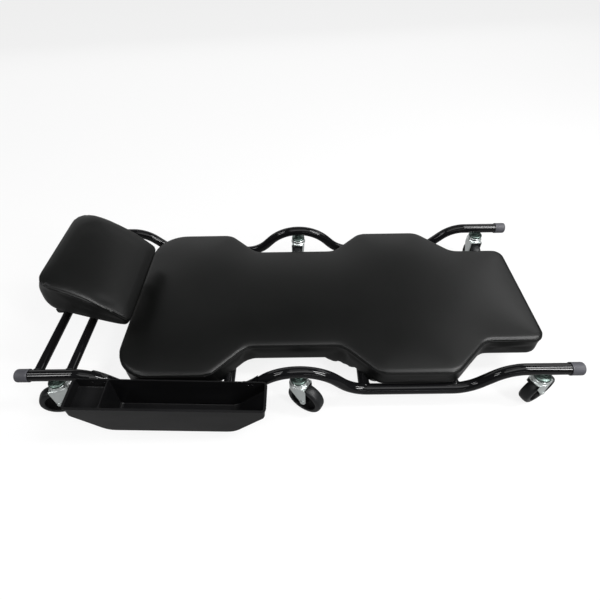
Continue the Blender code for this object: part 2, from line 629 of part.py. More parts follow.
def make_tray(lift, tilt, path):
    front = -(TRAY_WIDTH - TRAY_LIP)
    inside = (-TRAY_WALL, front + TRAY_WALL)
    divider = (TRAY_DIVIDER - TRAY_WALL / 2, TRAY_DIVIDER + TRAY_WALL / 2)
    points, radii = tray_body_profile(0)
    points[4], points[5] = Vector((points[4].x, -TRAY_LIP / 2)), Vector((points[5].x, -TRAY_LIP / 2))
    tray = rounded_tub(points, radii, 0, front, TRAY_EDGE)
    ceiling, below = -TRAY_SHALLOW - TRAY_WALL, -TRAY_DEPTH - TRAY_WALL
    under = [(-TRAY_LIP, ceiling), (divider[0] - TRAY_WALL, ceiling), (divider[0] - TRAY_WALL, below),
             (-TRAY_LIP, below)]
    bm = bmesh.new()
    prism(bm, under, -TRAY_SKIRT, front + TRAY_SKIRT, "XZ")
    tray = combined(tray, to_mesh(bm), "DIFFERENCE")
    bm = bmesh.new()
    rim = [(0, 0), (0, -TRAY_WIDTH), (TRAY_LENGTH, -TRAY_WIDTH), (TRAY_LENGTH, 0)]
    prism(bm, rounded(rim, [TRAY_CORNER] * 4, 3), -TRAY_LIP, 0, "XY")
    tray = combined(tray, to_mesh(bm), "UNION")

    points, radii = tray_body_profile(TRAY_WALL)
    floor, above = points[1].y, points[4].y
    deep = [(divider[1], above), (divider[1], floor), points[2], points[3], points[4]]
    shallow = [(points[5].x, above), (points[5].x, -TRAY_SHALLOW), (divider[0], -TRAY_SHALLOW),
               (divider[0], above)]
    for pocket, bends in ((deep, [0, TRAY_KNUCKLE, radii[2], radii[3], 0]), (shallow, [0] * 4)):
        cut = rounded_tub(pocket, bends, *inside, TRAY_EDGE - TRAY_WALL)
        tray = combined(tray, cut, "DIFFERENCE")

    spans = {"head": [TRAY_HEAD_X + along for along in HEAD_HOOK_SPAN],
             "foot": [TRAY_HEAD_X + TRAY_LENGTH - along for along in FOOT_HOOK_SPAN]}
    for end, span in spans.items():
        piece(f"{end}_tray_hook", tray_hook(path, span), "black_enamel", lift)
    piece("side_tray", tray, "tray_plastic", tilt)


def rim_height(x):
    return TRAY_RIM - (x - TRAY_HEAD_X) * math.tan(TRAY_TILT)


def tray_hook(path, span):
    """A saddle over the sloping rail with an upright plate behind the tray's back wall."""
    inner = RAIL_RADIUS + HOOK_CLEARANCE
    outer = inner + HOOK_PLATE
    joint = math.acos(inner / outer)
    places = [span[0] + (span[1] - span[0]) * k / HOOK_STEPS for k in range(HOOK_STEPS + 1)]
    bm = bmesh.new()
    rings = []
    for x in places:
        centre = rail_at(path, x)
        over = [(outer, joint + (math.pi - joint) * k / 5) for k in range(6)]
        under = [(inner, math.pi * (1 - 2 * k / TUBE_SIDES)) for k in range(TUBE_SIDES // 2 + 1)]
        rim = rim_height(x) - HOOK_RIM_DROP
        section = [(-outer, centre - HOOK_TONGUE), (-outer, rim), (-inner, rim)]
        section += [(-r * math.cos(a), rail_at(path, x, r * math.sin(a))) for r, a in over]
        section += [(outer, centre - HOOK_TONGUE), (inner, centre - HOOK_TONGUE)]
        section += [(-r * math.cos(a), rail_at(path, x, r * math.sin(a))) for r, a in under]
        section += [(-inner, centre - HOOK_TONGUE)]
        rings.append([bm.verts.new((x, y - RAIL_Y, z)) for y, z in section])
    skin(bm, rings, capped=True)
    return to_mesh(bm)


# Casters, each in a frame on its swivel axis at floor level, with +X the way its wheel trails

def caster_mount(path, x):
    """Post, upper race and kingpin in one turned piece, its top coped to the rail above it."""
    reach = RAIL_RADIUS + COPE_CLEARANCE
    bm = bmesh.new()
    rings = [add_ring(bm, Vector(), radius, 12, "Z") for radius in (POST_RADIUS / 2, POST_RADIUS)]
    for ring in rings:
        for vertex in ring:
            vertex.co.z = rail_at(path, x + vertex.co.x, -math.sqrt(reach ** 2 - vertex.co.y ** 2))
    skirt = CROWN_TOP + CUP_SKIRT_GAP
    profile = [(POST_RADIUS, CUP_TOP), (CUP_RADIUS - CUP_WALL, CUP_TOP), (CUP_RADIUS, CUP_BOTTOM),
               (CUP_RADIUS, skirt), (CUP_RADIUS - CUP_WALL, skirt), (CUP_RADIUS - CUP_WALL, CUP_BOTTOM),
               (KINGPIN_RADIUS, CUP_BOTTOM), (KINGPIN_RADIUS, CROWN_BOTTOM - GAP),
               (KINGPIN_HEAD_RADIUS, CROWN_BOTTOM - GAP),
               (KINGPIN_HEAD_RADIUS, CROWN_BOTTOM - GAP - KINGPIN_HEAD_HEIGHT)]
    rings += [add_ring(bm, Vector((0, 0, z)), radius, 12, "Z") for radius, z in profile]
    skin(bm, rings, capped=True)
    return to_mesh(bm)


def caster_fork():
    """Pressed steel fork: an inverted channel trimmed to the legs' side view."""
    inside = FORK_HALF - FORK_PLATE
    tip = WHEEL_RADIUS - FORK_TIP
    channel = [(-FORK_HALF, 0, 0), (-inside, 0, 0), (-inside, CROWN_BOTTOM, 0), (inside, CROWN_BOTTOM, 0),
               (inside, 0, 0), (FORK_HALF, 0, 0), (FORK_HALF, CROWN_TOP, FORK_PLATE),
               (-FORK_HALF, CROWN_TOP, FORK_PLATE)]
    bm = bmesh.new()
    prism(bm, rounded([corner[:2] for corner in channel], [corner[2] for corner in channel], 2),
          -2 * CUP_RADIUS, CASTER_TRAIL + 2 * CUP_RADIUS, "YZ")
    fork = to_mesh(bm)
    front, rear = CASTER_TRAIL + FORK_TIP, -FORK_REAR
    above = CROWN_TOP + FORK_PLATE
    side = [(rear, above, 0), (rear, CROWN_TOP - FORK_SHOULDER, FORK_KNEE),
            (CASTER_TRAIL - FORK_TIP, tip + FORK_TIP, 0), (CASTER_TRAIL - FORK_TIP, tip, FORK_TIP * 0.97),
            (front, tip, FORK_TIP * 0.97), (front, CROWN_TOP - FORK_SHOULDER, FORK_KNEE),
            (front - FORK_TIP / 2, above, 0)]
    bm = bmesh.new()
    prism(bm, rounded([corner[:2] for corner in side], [corner[2] for corner in side], 3),
          -2 * FORK_HALF, 2 * FORK_HALF, "XZ")
    fork = combined(fork, to_mesh(bm), "INTERSECT")
    fork = drilled(fork, [(CASTER_TRAIL, 0, WHEEL_RADIUS)], "Y", -2 * FORK_HALF, 2 * FORK_HALF,
                   AXLE_RADIUS + PIN_CLEARANCE, 8)
    return drilled(fork, [Vector()], "Z", CROWN_BOTTOM - FORK_PLATE, CROWN_TOP + FORK_PLATE,
                   KINGPIN_RADIUS + PIN_CLEARANCE, 12)


def caster_bearing():
    """Ball ring between the fork crown and the upper race."""
    middle = (CROWN_TOP + CUP_BOTTOM) / 2
    race = (CUP_RADIUS - CUP_WALL + KINGPIN_RADIUS) / 2
    flat = BALL_RADIUS * 0.5
    section = [(-flat, -BALL_RADIUS), (flat, -BALL_RADIUS), (BALL_RADIUS, 0), (flat, BALL_RADIUS),
               (-flat, BALL_RADIUS), (-BALL_RADIUS, 0)]
    bm = bmesh.new()
    turned(bm, [(race + r, middle + z) for r, z in section], 12, "Z", closed=True)
    return to_mesh(bm)


def caster_axle():
    seat = FORK_HALF + GAP
    half = [(AXLE_HEAD_RADIUS * 0.7, seat + AXLE_HEAD_HEIGHT), (AXLE_HEAD_RADIUS, seat),
            (AXLE_RADIUS, seat)]
    bm = bmesh.new()
    turned(bm, half + [(radius, -y) for radius, y in reversed(half)], 8, "Y",
           Vector((CASTER_TRAIL, 0, WHEEL_RADIUS)))
    return to_mesh(bm)


def caster_wheel():
    """Wheel with a rounded tread and dished sides, round its own axle."""
    face, dish = WHEEL_WIDTH / 2, WHEEL_WIDTH / 2 - DISH_DEPTH
    rim = WHEEL_RADIUS - RIM_DEPTH
    half = [(AXLE_RADIUS + PIN_CLEARANCE, HUB_WIDTH / 2), (HUB_RADIUS, HUB_WIDTH / 2),
            (HUB_RADIUS * 1.15, dish), (rim - RIM_DRAFT, dish), (rim, face),
            (WHEEL_RADIUS - TREAD_CROWN, face - TREAD_CROWN * 0.15),
            (WHEEL_RADIUS, face - TREAD_CROWN * 1.7)]
    bm = bmesh.new()
    turned(bm, half + [(radius, -y) for radius, y in reversed(half)], WHEEL_SIDES, "Y", closed=True)
    return to_mesh(bm)


def make_casters(root, path):
    bearing, fork, axle, wheel = caster_bearing(), caster_fork(), caster_axle(), caster_wheel()
    places = {"head": CASTER_INSET - LENGTH / 2, "mid": 0, "foot": LENGTH / 2 - CASTER_INSET}
    for name, yaw in CASTER_YAWS.items():
        end, side = name.split("_")
        spot = Vector((places[end], RAIL_Y if side == "left" else -RAIL_Y, 0))
        swivel = empty(f"{name}_swivel", root, spot, (0, 0, math.radians(yaw)))
        piece(f"{name}_caster_mount", caster_mount(path, spot.x), "bright_zinc", root, spot)
        piece(f"{name}_bearing", bearing, "steel", root, spot)
        piece(f"{name}_fork", fork, "bright_zinc", swivel)
        piece(f"{name}_axle", axle, "bright_zinc", swivel)
        piece(f"{name}_wheel", wheel, "dark_rubber", swivel, (CASTER_TRAIL, 0, WHEEL_RADIUS))


def main():
    for thing in list(bpy.data.objects):
        bpy.data.objects.remove(thing)
    root = empty("creeper", None, (0, SHIFT_Y, 0))
    path = rail_path()
    make_rails(root, path)
    make_end_caps(root)
    make_cross_tubes(root, path)
    make_deck(root)
    make_carriers(root)
    make_hinge_rod(root)
    headrest = empty("headrest_hinge", root, HINGE, (0, HEADREST_TILT, 0))
    make_hinge_ears(headrest)
    make_headrest_board(headrest)
    make_headrest_cushion(headrest)
    lift = empty("tray_lift", root)
    hang = empty("tray_hang", lift, (TRAY_HEAD_X, TRAY_BACK, TRAY_RIM), (0, TRAY_TILT, 0))
    make_tray(lift, hang, path)
    make_casters(root, path)


main()
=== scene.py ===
import json
import math

import bpy
from mathutils import Matrix, Vector, noise

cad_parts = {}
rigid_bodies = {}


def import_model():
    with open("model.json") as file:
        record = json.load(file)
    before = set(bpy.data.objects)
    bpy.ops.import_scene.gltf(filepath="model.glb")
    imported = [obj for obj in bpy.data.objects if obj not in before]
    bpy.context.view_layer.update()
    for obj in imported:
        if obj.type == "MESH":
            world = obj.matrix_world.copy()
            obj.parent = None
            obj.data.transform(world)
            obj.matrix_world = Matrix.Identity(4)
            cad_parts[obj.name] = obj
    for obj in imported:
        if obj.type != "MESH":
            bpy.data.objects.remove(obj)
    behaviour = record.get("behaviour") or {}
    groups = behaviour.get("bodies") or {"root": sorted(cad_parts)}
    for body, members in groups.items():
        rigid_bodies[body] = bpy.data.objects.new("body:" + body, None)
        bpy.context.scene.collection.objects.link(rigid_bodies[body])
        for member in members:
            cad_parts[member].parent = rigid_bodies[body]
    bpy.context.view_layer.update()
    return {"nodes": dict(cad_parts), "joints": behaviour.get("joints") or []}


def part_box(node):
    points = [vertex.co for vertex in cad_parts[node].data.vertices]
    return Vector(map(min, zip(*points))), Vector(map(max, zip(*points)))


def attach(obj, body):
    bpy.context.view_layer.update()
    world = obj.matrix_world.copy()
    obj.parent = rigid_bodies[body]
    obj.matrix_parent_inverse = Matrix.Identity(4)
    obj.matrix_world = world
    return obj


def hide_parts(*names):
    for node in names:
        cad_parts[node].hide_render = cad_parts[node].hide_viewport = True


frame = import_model()
nodes = frame["nodes"]
joints = {joint["name"]: joint for joint in frame["joints"]}
casterNames = ["head_right", "mid_right", "foot_right", "head_left", "mid_left", "foot_left"]
print("frame loaded:", len(nodes), "nodes")


# places read from the frame

def middle(node):
    low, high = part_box(node)
    return (low + high) / 2


railHigh = middle("foot_right_end_cap").z
rightRailY = middle("foot_right_end_cap").y
leftRailY = middle("foot_left_end_cap").y
centreY = (rightRailY + leftRailY) / 2
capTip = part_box("foot_right_end_cap")[1].x
hingePlace = Vector(joints["headrest_tilt"]["pos_m"])
headrestTilt = math.radians(-joints["headrest_tilt"]["range_deg"][0])
headrestFrame = Matrix.Translation(hingePlace) @ Matrix.Rotation(headrestTilt, 4, "Y")


# camera and light

cameraSet = {
    "place": (0.01116, centreY - 0.72105, 0.86607),
    "right": (0.99988103, -0.00539789, -0.01444948),
    "up": (0.01379901, 0.73164026, 0.68155126),
    "forward": (-0.00689288, 0.68166957, -0.7316277),
    "lens": 24.48,
}


def makeCamera():
    bpy.ops.object.camera_add()
    camera = bpy.context.object
    camera.name = "photoCamera"
    right, up, forward = (Vector(cameraSet[key]) for key in ("right", "up", "forward"))
    turn = Matrix((right, up, -forward)).transposed().to_4x4()
    camera.matrix_world = Matrix.Translation(cameraSet["place"]) @ turn
    camera.data.sensor_width = 36
    camera.data.lens = cameraSet["lens"]
    camera.data.clip_end = 200
    bpy.context.scene.camera = camera


stageSet = {
    # how bright each kind of ray finds the backdrop and the floor
    "backdropSeen": 0.97, "backdropGloss": 0.02, "backdropDim": 0.05, "backdropTint": (0.98, 0.99, 1.0),
    "floorSeen": 0.84, "floorGloss": 0.20, "floorBounce": (0.17, 0.17, 0.17),
    "floorPale": (0.82, 0.82, 0.82), "floorRoughness": 0.9, "floorSize": 60, "floorDrop": 0.0005,
}

lightSet = [
    # name, place, aimed at, size x, size y, power
    ("footHigh", (1.90, -0.25, 2.40), (0.2, -0.1, 0.1), 0.30, 1.3, 52),
    ("footLow", (1.90, -1.70, 2.05), (0.2, -0.1, 0.1), 0.30, 1.3, 52),
    ("headHigh", (-1.90, -0.25, 2.40), (-0.2, -0.1, 0.1), 0.30, 0.9, 13),
    ("headLow", (-1.90, -1.70, 2.05), (-0.2, -0.1, 0.1), 0.30, 0.9, 18),
    ("frontTop", (0.40, -0.95, 2.20), (0.1, -0.1, 0.1), 2.6, 1.1, 24),
    ("topFill", (0.0, 0.20, 2.60), (0.0, 0.0, 0.1), 1.6, 0.9, 5),
    ("nearStrip", (0.90, -2.60, 0.80), (0.2, -0.2, 0.1), 1.3, 0.10, 3),
    ("farBox", (1.30, 0.80, 1.05), (0.45, 0.0, 0.1), 0.75, 0.6, 3.6),
    ("backCard", (-0.3, 2.40, 1.10), (0.0, 0.0, 0.1), 5.0, 1.5, 22),
]


def makeLights():
    for name, place, aim, sizeX, sizeY, power in lightSet:
        bpy.ops.object.light_add(type="AREA", location=place)
        lamp = bpy.context.object
        lamp.name = name
        lamp.rotation_euler = (Vector(aim) - Vector(place)).to_track_quat("-Z", "Y").to_euler()
        lamp.data.shape = "RECTANGLE"
        lamp.data.size, lamp.data.size_y = sizeX, sizeY
        lamp.data.energy = power
    world = bpy.data.worlds.new("studio")
    bpy.context.scene.world = world
    # white to the camera, dim to everything else
    studio = Finish("studio", world)
    camera, gloss, glass = studio.rays()
    dim = (gloss + glass) * stageSet["backdropGloss"] + stageSet["backdropDim"]
    studio.feed(studio.shader.inputs["Color"], stageSet["backdropTint"])
    studio.feed(studio.shader.inputs["Strength"],
                studio.math("MAXIMUM", camera * stageSet["backdropSeen"], dim))
    bpy.context.scene.view_settings.view_transform = "Standard"


# shader wiring

class Wire:
    def __init__(self, finish, socket):
        self.finish, self.socket = finish, socket

    def __add__(self, other):
        return self.finish.math("ADD", self, other)

    def __sub__(self, other):
        return self.finish.math("SUBTRACT", self, other)

    def __rsub__(self, other):
        return self.finish.math("SUBTRACT", other, self)

    def __mul__(self, other):
        return self.finish.math("MULTIPLY", self, other)

    def __pow__(self, other):
        return self.finish.math("POWER", self, other)

    def __rpow__(self, other):
        return self.finish.math("POWER", other, self)

    __radd__ = __add__
    __rmul__ = __mul__


class Finish:
    def __init__(self, name, world=None):
        self.material = world or bpy.data.materials.new(name)
        self.material.use_nodes = True
        self.tree = self.material.node_tree
        self.shader = self.tree.nodes["Background" if world else "Principled BSDF"]
        self.coords = None if world else self.node("ShaderNodeTexCoord", out="Object")

    def node(self, kind, settings=None, sockets=None, out=0):
        made = self.tree.nodes.new(kind)
        for key, value in (settings or {}).items():
            if key == "stops":
                ramp = made.color_ramp.elements
                while len(ramp) < len(value):
                    ramp.new(0.5)
                for element, (place, colour) in zip(ramp, value):
                    element.position = place
                    element.color = (*colour, 1)
            else:
                setattr(made, key, value)
        for key, value in (sockets or {}).items():
            self.feed(made.inputs[key], value)
        return Wire(self, made.outputs[out])

    def feed(self, socket, value):
        if isinstance(value, Wire):
            self.tree.links.new(value.socket, socket)
        elif isinstance(value, tuple) and len(value) == 3 and socket.type == "RGBA":
            socket.default_value = (*value, 1)
        else:
            socket.default_value = value

    def rays(self):
        paths = self.tree.nodes.new("ShaderNodeLightPath")
        kinds = ("Camera", "Glossy", "Transmission")
        return [Wire(self, paths.outputs[f"Is {kind} Ray"]) for kind in kinds]

    def math(self, operation, first, second):
        return self.node("ShaderNodeMath", {"operation": operation}, {0: first, 1: second})

    def stretch(self, scale):
        return self.node("ShaderNodeMapping", None, {"Vector": self.coords, "Scale": scale})

    def speckle(self, scale, detail=2.0, roughness=0.5, vector=None):
        return self.node("ShaderNodeTexNoise", None,
                         {"Vector": vector or self.coords, "Scale": scale, "Detail": detail,
                          "Roughness": roughness})

    def cells(self, scale):
        return self.node("ShaderNodeTexVoronoi", {"feature": "SMOOTH_F1"},
                         {"Vector": self.coords, "Scale": scale}, "Distance")

    def spread(self, value, low, high, toLow, toHigh):
        return self.node("ShaderNodeMapRange", None,
                         {"Value": value, "From Min": low, "From Max": high, "To Min": toLow,
                          "To Max": toHigh})

    def mixed(self, share, first, second):
        return self.node("ShaderNodeMix", {"data_type": "RGBA"}, {0: share, 6: first, 7: second}, 2)

    def bump(self, height, distance, strength):
        return self.node("ShaderNodeBump", None,
                         {"Height": height, "Distance": distance, "Strength": strength})

    def done(self, **sockets):
        names = {"colour": "Base Color", "roughness": "Roughness", "metallic": "Metallic",
                 "normal": "Normal", "specular": "Specular IOR Level"}
        for key, value in sockets.items():
            self.feed(self.shader.inputs[names[key]], value)
        return self.material


def enamelFinish():
    finish = Finish("blackEnamel")
    peel = finish.speckle(240, 2)
    cloud = finish.speckle(9, 3)
    return finish.done(colour=finish.mixed(cloud, (0.003, 0.003, 0.0034), (0.006, 0.006, 0.0066)),
                       roughness=finish.spread(cloud, 0.3, 0.7, 0.05, 0.085), specular=0.24,
                       normal=finish.bump(peel, 0.00003, 0.05))


def vinylFinish(name, dark, light):
    finish = Finish(name)
    pores = finish.cells(950)
    creases = finish.speckle(260, 4, 0.6)
    cloud = finish.speckle(5, 3)
    pucker = finish.speckle(130, 2)
    # a thin line along the sewn groove, from each vertex's height above the seam: it carries the groove's
    # bump and roughness, and painted shade in the colour
    height = finish.node("ShaderNodeAttribute", {"attribute_name": "seamHeight"}, None, "Fac")
    seamGrooveAndShade = 2.718 ** (-1.0 * ((height * (1.0 / 0.0009)) ** 2.0))
    lip = 2.718 ** (-1.0 * ((height * (1.0 / 0.0045)) ** 2.0))
    grain = pores * 0.06 + creases * 0.04 + pucker * lip * 0.35 - seamGrooveAndShade * 1.6
    # painted shade: the colour darkens to near black along the seam line, standing in for shade in the
    # groove
    colour = finish.mixed(seamGrooveAndShade * 0.85, finish.mixed(cloud, dark, light), (0.0008, 0.0008, 0.0009))
    roughness = finish.spread(cloud * 0.6 + pores * 0.4, 0.2, 0.8, 0.31, 0.42) + seamGrooveAndShade * 0.3
    return finish.done(colour=colour, roughness=roughness, specular=0.26,
                       normal=finish.bump(grain, 0.0012, 0.5))


def capFinish():
    finish = Finish("greyCap")
    grain = finish.speckle(900, 3)
    scuff = finish.speckle(60, 5, 0.7)
    return finish.done(colour=finish.mixed(scuff, (0.040, 0.040, 0.047), (0.068, 0.068, 0.079)),
                       roughness=finish.spread(scuff, 0.3, 0.7, 0.42, 0.58),
                       normal=finish.bump(grain, 0.0001, 0.5))


def zincFinish(name, dark, light, low, high):
    finish = Finish(name)
    cloud = finish.speckle(70, 4, 0.6)
    streak = finish.speckle(40, 3, 0.6, finish.stretch((1, 1, 14)))
    grain = finish.speckle(1500, 2)
    return finish.done(colour=finish.mixed(cloud, dark, light), metallic=1.0,
                       roughness=finish.spread(cloud * 0.5 + streak * 0.5, 0.3, 0.7, low, high),
                       normal=finish.bump(grain, 0.00003, 0.4))


def rubberFinish(name, dark, light, low, high, specular):
    finish = Finish(name)
    grain = finish.speckle(700, 3)
    dust = finish.speckle(45, 5, 0.65)
    return finish.done(colour=finish.mixed(dust, dark, light),
                       roughness=finish.spread(dust, 0.3, 0.7, low, high), specular=specular,
                       normal=finish.bump(grain, 0.00008, 0.5))


def trayFinish():
    finish = Finish("trayPlastic")
    stipple = finish.cells(1400)
    flow = finish.speckle(14, 4, 0.6, finish.stretch((0.4, 1, 1)))
    return finish.done(colour=finish.mixed(flow, (0.0032, 0.0032, 0.0036), (0.0060, 0.0060, 0.0064)),
                       roughness=finish.spread(flow, 0.3, 0.7, 0.30, 0.42), specular=0.22,
                       normal=finish.bump(stipple, 0.00008, 0.35))


def plywoodFinish():
    finish = Finish("plywood")
    warp = finish.speckle(6, 3, 0.6, finish.stretch((0.25, 1, 1)))
    rings = finish.node("ShaderNodeTexWave", {"wave_type": "BANDS", "bands_direction": "Y"},
                        {"Vector": finish.stretch((0.35, 1, 1)), "Scale": 16.0, "Distortion": 7.0,
                         "Detail": 3.0, "Detail Scale": 1.4}, "Fac")
    fibre = finish.speckle(220, 3, 0.6, finish.stretch((0.06, 1, 1)))
    plies = finish.node("ShaderNodeTexWave", {"wave_type": "BANDS", "bands_direction": "Z"},
                        {"Vector": finish.coords, "Scale": 90.0}, "Fac")
    tone = rings * 0.45 + fibre * 0.3 + warp * 0.25
    base = finish.node("ShaderNodeValToRGB",
                       {"stops": [(0.25, (0.30, 0.19, 0.10)), (0.55, (0.45, 0.31, 0.18)),
                                  (0.8, (0.56, 0.42, 0.27))]}, {"Fac": tone})
    edge = finish.mixed(plies * 0.45, base, (0.20, 0.12, 0.06))
    return finish.done(colour=edge, roughness=finish.spread(fibre, 0.3, 0.7, 0.62, 0.78),
                       normal=finish.bump(fibre, 0.0002, 0.4))


def plainFinish(name, dark, light, low, high, metallic=0.0):
    finish = Finish(name)
    cloud = finish.speckle(90, 4, 0.6)
    return finish.done(colour=finish.mixed(cloud, dark, light), metallic=metallic,
                       roughness=finish.spread(cloud, 0.3, 0.7, low, high))


finishes = {
    "enamel": enamelFinish(),
    "vinyl": vinylFinish("blackVinyl", (0.0018, 0.0020, 0.0019), (0.0032, 0.0034, 0.0032)),
    "cap": capFinish(),
    "zinc": zincFinish("brightZinc", (0.66, 0.71, 0.70), (0.86, 0.90, 0.89), 0.28, 0.42),
    # painted shade and painted reflection: the zinc made dark for the mount and nut, which sit in shade
    # under the black rail and mirror it
    "race": zincFinish("zincPaintedShade", (0.07, 0.10, 0.09), (0.18, 0.23, 0.21), 0.32, 0.48),
    "tyre": rubberFinish("wheelTread", (0.0045, 0.0052, 0.0056), (0.0095, 0.0102, 0.011), 0.36, 0.50, 0.30),
    "disc": rubberFinish("wheelDisc", (0.001, 0.001, 0.0012), (0.0025, 0.0025, 0.0028), 0.5, 0.65, 0.10),
    "foot": rubberFinish("softRubber", (0.022, 0.022, 0.023), (0.040, 0.040, 0.042), 0.55, 0.75, 0.4),
    "tray": trayFinish(),
    "plywood": plywoodFinish(),
    "nylon": plainFinish("naturalNylon", (0.50, 0.49, 0.45), (0.60, 0.59, 0.55), 0.40, 0.55),
    "steel": plainFinish("plainSteel", (0.42, 0.43, 0.44), (0.58, 0.59, 0.60), 0.28, 0.42, 1.0),
}
print("finishes wired:", len(finishes))


# modelling helpers

def clamped(value):
    return max(0.0, min(1.0, value))


def only(obj):
    if bpy.context.object and bpy.context.object.mode != "OBJECT":
        bpy.ops.object.mode_set(mode="OBJECT")
    bpy.ops.object.select_all(action="DESELECT")
    obj.select_set(True)
    bpy.context.view_layer.objects.active = obj


def editAll(obj):
    only(obj)
    bpy.ops.object.mode_set(mode="EDIT")
    bpy.ops.mesh.select_all(action="SELECT")


def leaveEdit():
    bpy.ops.object.mode_set(mode="OBJECT")


def applyModifier(obj, kind, **settings):
    only(obj)
    modifier = obj.modifiers.new("step", kind)
    for key, value in settings.items():
        setattr(modifier, key, value)
    bpy.ops.object.modifier_apply(modifier=modifier.name)


def smoothed(obj, degrees=35):
    only(obj)
    bpy.ops.object.shade_smooth_by_angle(angle=math.radians(degrees))
    return obj


def evened(obj):
    # flat faces keep flat shading up to their rounded edges
    smoothed(obj, 60)
    applyModifier(obj, "WEIGHTED_NORMAL", mode="FACE_AREA", weight=80, keep_sharp=True)
    return obj


def dressed(obj, finish, body, replaced=()):
    obj.data.materials.clear()
    obj.data.materials.append(finishes[finish])
    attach(obj, body)
    if replaced:
        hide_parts(*replaced)
    return obj


def copied(obj, name, place):
    twin = bpy.data.objects.new(name, obj.data.copy())
    bpy.context.collection.objects.link(twin)
    twin.data.transform(place)
    return twin


def newMesh(name, points, faces):
    mesh = bpy.data.meshes.new(name)
    mesh.from_pydata([tuple(point) for point in points], [], faces)
    obj = bpy.data.objects.new(name, mesh)
    bpy.context.collection.objects.link(obj)
    return obj


def spun(name, profile, segments):
    # a profile of radius and height, spun about Z
    bpy.ops.object.select_all(action="DESELECT")
    bpy.ops.mesh.primitive_plane_add(size=0.002, enter_editmode=True)
    obj = bpy.context.object
    obj.name = obj.data.name = name
    bpy.ops.mesh.merge(type="CENTER")
    here = Vector((0, 0, 0))
    for i, (radius, height) in enumerate(profile):
        there = Vector((radius, 0, height))
        if i == 0:
            bpy.ops.transform.translate(value=there - here)
        else:
            bpy.ops.mesh.extrude_vertices_move(TRANSFORM_OT_translate={"value": there - here})
        here = there
    bpy.ops.mesh.select_all(action="SELECT")
    bpy.ops.mesh.spin(steps=segments, angle=2 * math.pi, center=(0, 0, 0), axis=(0, 0, 1))
    bpy.ops.mesh.select_all(action="SELECT")
    bpy.ops.mesh.remove_doubles(threshold=0.000004)
    bpy.ops.mesh.normals_make_consistent(inside=False)
    leaveEdit()
    return obj


def rounded(obj, width):
    applyModifier(obj, "BEVEL", width=width, segments=3, limit_method="ANGLE",
                  angle_limit=math.radians(30), use_clamp_overlap=True)
    return obj


def mergedCopy(node, name, place=Matrix.Identity(4)):
    # a copy of a CAD node with its doubles merged and its flat faces made whole
    obj = copied(nodes[node], name, place)
    editAll(obj)
    bpy.ops.mesh.remove_doubles(threshold=0.00002)
    bpy.ops.mesh.dissolve_limited(angle_limit=math.radians(1.0))
    leaveEdit()
    return obj


def roundedLoop(corners, steps):
    # corner points with a radius each, in a plane, as one closed loop
    loop = []
    for i, (x, y, radius) in enumerate(corners):
        here = Vector((x, y))
        if radius <= 0:
            loop.append(here)
            continue
        before = (Vector(corners[i - 1][:2]) - here).normalized()
        after = (Vector(corners[(i + 1) % len(corners)][:2]) - here).normalized()
        half = before.angle(after) / 2
        centre = here + (before + after).normalized() * (radius / math.sin(half))
        start = here + before * (radius / math.tan(half)) - centre
        end = here + after * (radius / math.tan(half)) - centre
        first = math.atan2(start.y, start.x)
        turn = (math.atan2(end.y, end.x) - first + math.pi) % (2 * math.pi) - math.pi
        for k in range(steps + 1):
            angle = first + turn * k / steps
            loop.append(centre + radius * Vector((math.cos(angle), math.sin(angle))))
    return loop


def movedIn(corners, distance):
    # every side of an anticlockwise outline moved inwards, with its radii to suit
    result = []
    for i, (x, y, radius) in enumerate(corners):
        here = Vector((x, y))
        before = (here - Vector(corners[i - 1][:2])).normalized()
        after = (Vector(corners[(i + 1) % len(corners)][:2]) - here).normalized()
        inward = [Vector((-side.y, side.x)) for side in (before, after)]
        place = here + (inward[0] + inward[1]) * (distance / (1 + inward[0].dot(inward[1])))
        convex = before.x * after.y - before.y * after.x > 0
        bend = radius - distance if convex else radius + distance
        result.append((place.x, place.y, max(bend, 0.0024) if radius > 0 else 0))
    return result


def lofted(name, rings):
    # rings of as many points joined by faces, both ends closed
    count = len(rings[0])
    points = [point for ring in rings for point in ring]
    faces = [tuple(reversed(range(count))), tuple(range(len(points) - count, len(points)))]
    for k in range(len(rings) - 1):
        for i in range(count):
            j = (i + 1) % count
            faces.append((k * count + i, k * count + j, (k + 1) * count + j, (k + 1) * count + i))
    obj = newMesh(name, points, faces)
    editAll(obj)
    bpy.ops.mesh.normals_make_consistent(inside=False)
    leaveEdit()
    return obj


def tubeAlong(name, path, radius, sides, closed=False):
    # a poly curve through the points, given a round section and made a mesh
    bpy.ops.object.select_all(action="DESELECT")
    bpy.ops.curve.primitive_nurbs_path_add()
    curve = bpy.context.object
    curve.name = name
    spline = curve.data.splines[0]
    spline.type = "POLY"
    spline.points.add(len(path) - len(spline.points))
    for point, place in zip(spline.points, path):
        point.co = (*place, 1)
    spline.use_cyclic_u = closed
    curve.data.bevel_depth = radius
    curve.data.bevel_resolution = sides // 4 - 1
    curve.data.use_fill_caps = not closed
    curve.data.twist_mode = "Z_UP"
    bpy.ops.object.convert(target="MESH")
    tube = bpy.context.object
    editAll(tube)
    bpy.ops.mesh.remove_doubles(threshold=0.000002)
    bpy.ops.mesh.normals_make_consistent(inside=False)
    leaveEdit()
    return smoothed(tube)


def cutBy(obj, cutter, keepCutter=False):
    applyModifier(obj, "BOOLEAN", object=cutter, operation="DIFFERENCE", solver="EXACT")
    if not keepCutter:
        bpy.data.objects.remove(cutter)


# frame tubes

railSet = {
    "radius": 0.0127, "drop": 0.072, "slope": math.radians(45), "bend": 0.085, "humpBend": 0.115,
    "humpHalf": 0.048, "endRun": 0.152, "tubeEnd": 0.0033, "steps": 14, "sides": 32,
    "headTubeRadius": 0.0095, "weld": 0.0017, "weldPoints": 48, "weldSides": 12,
    "ripple": 0.0003, "rippleScale": 420,
}


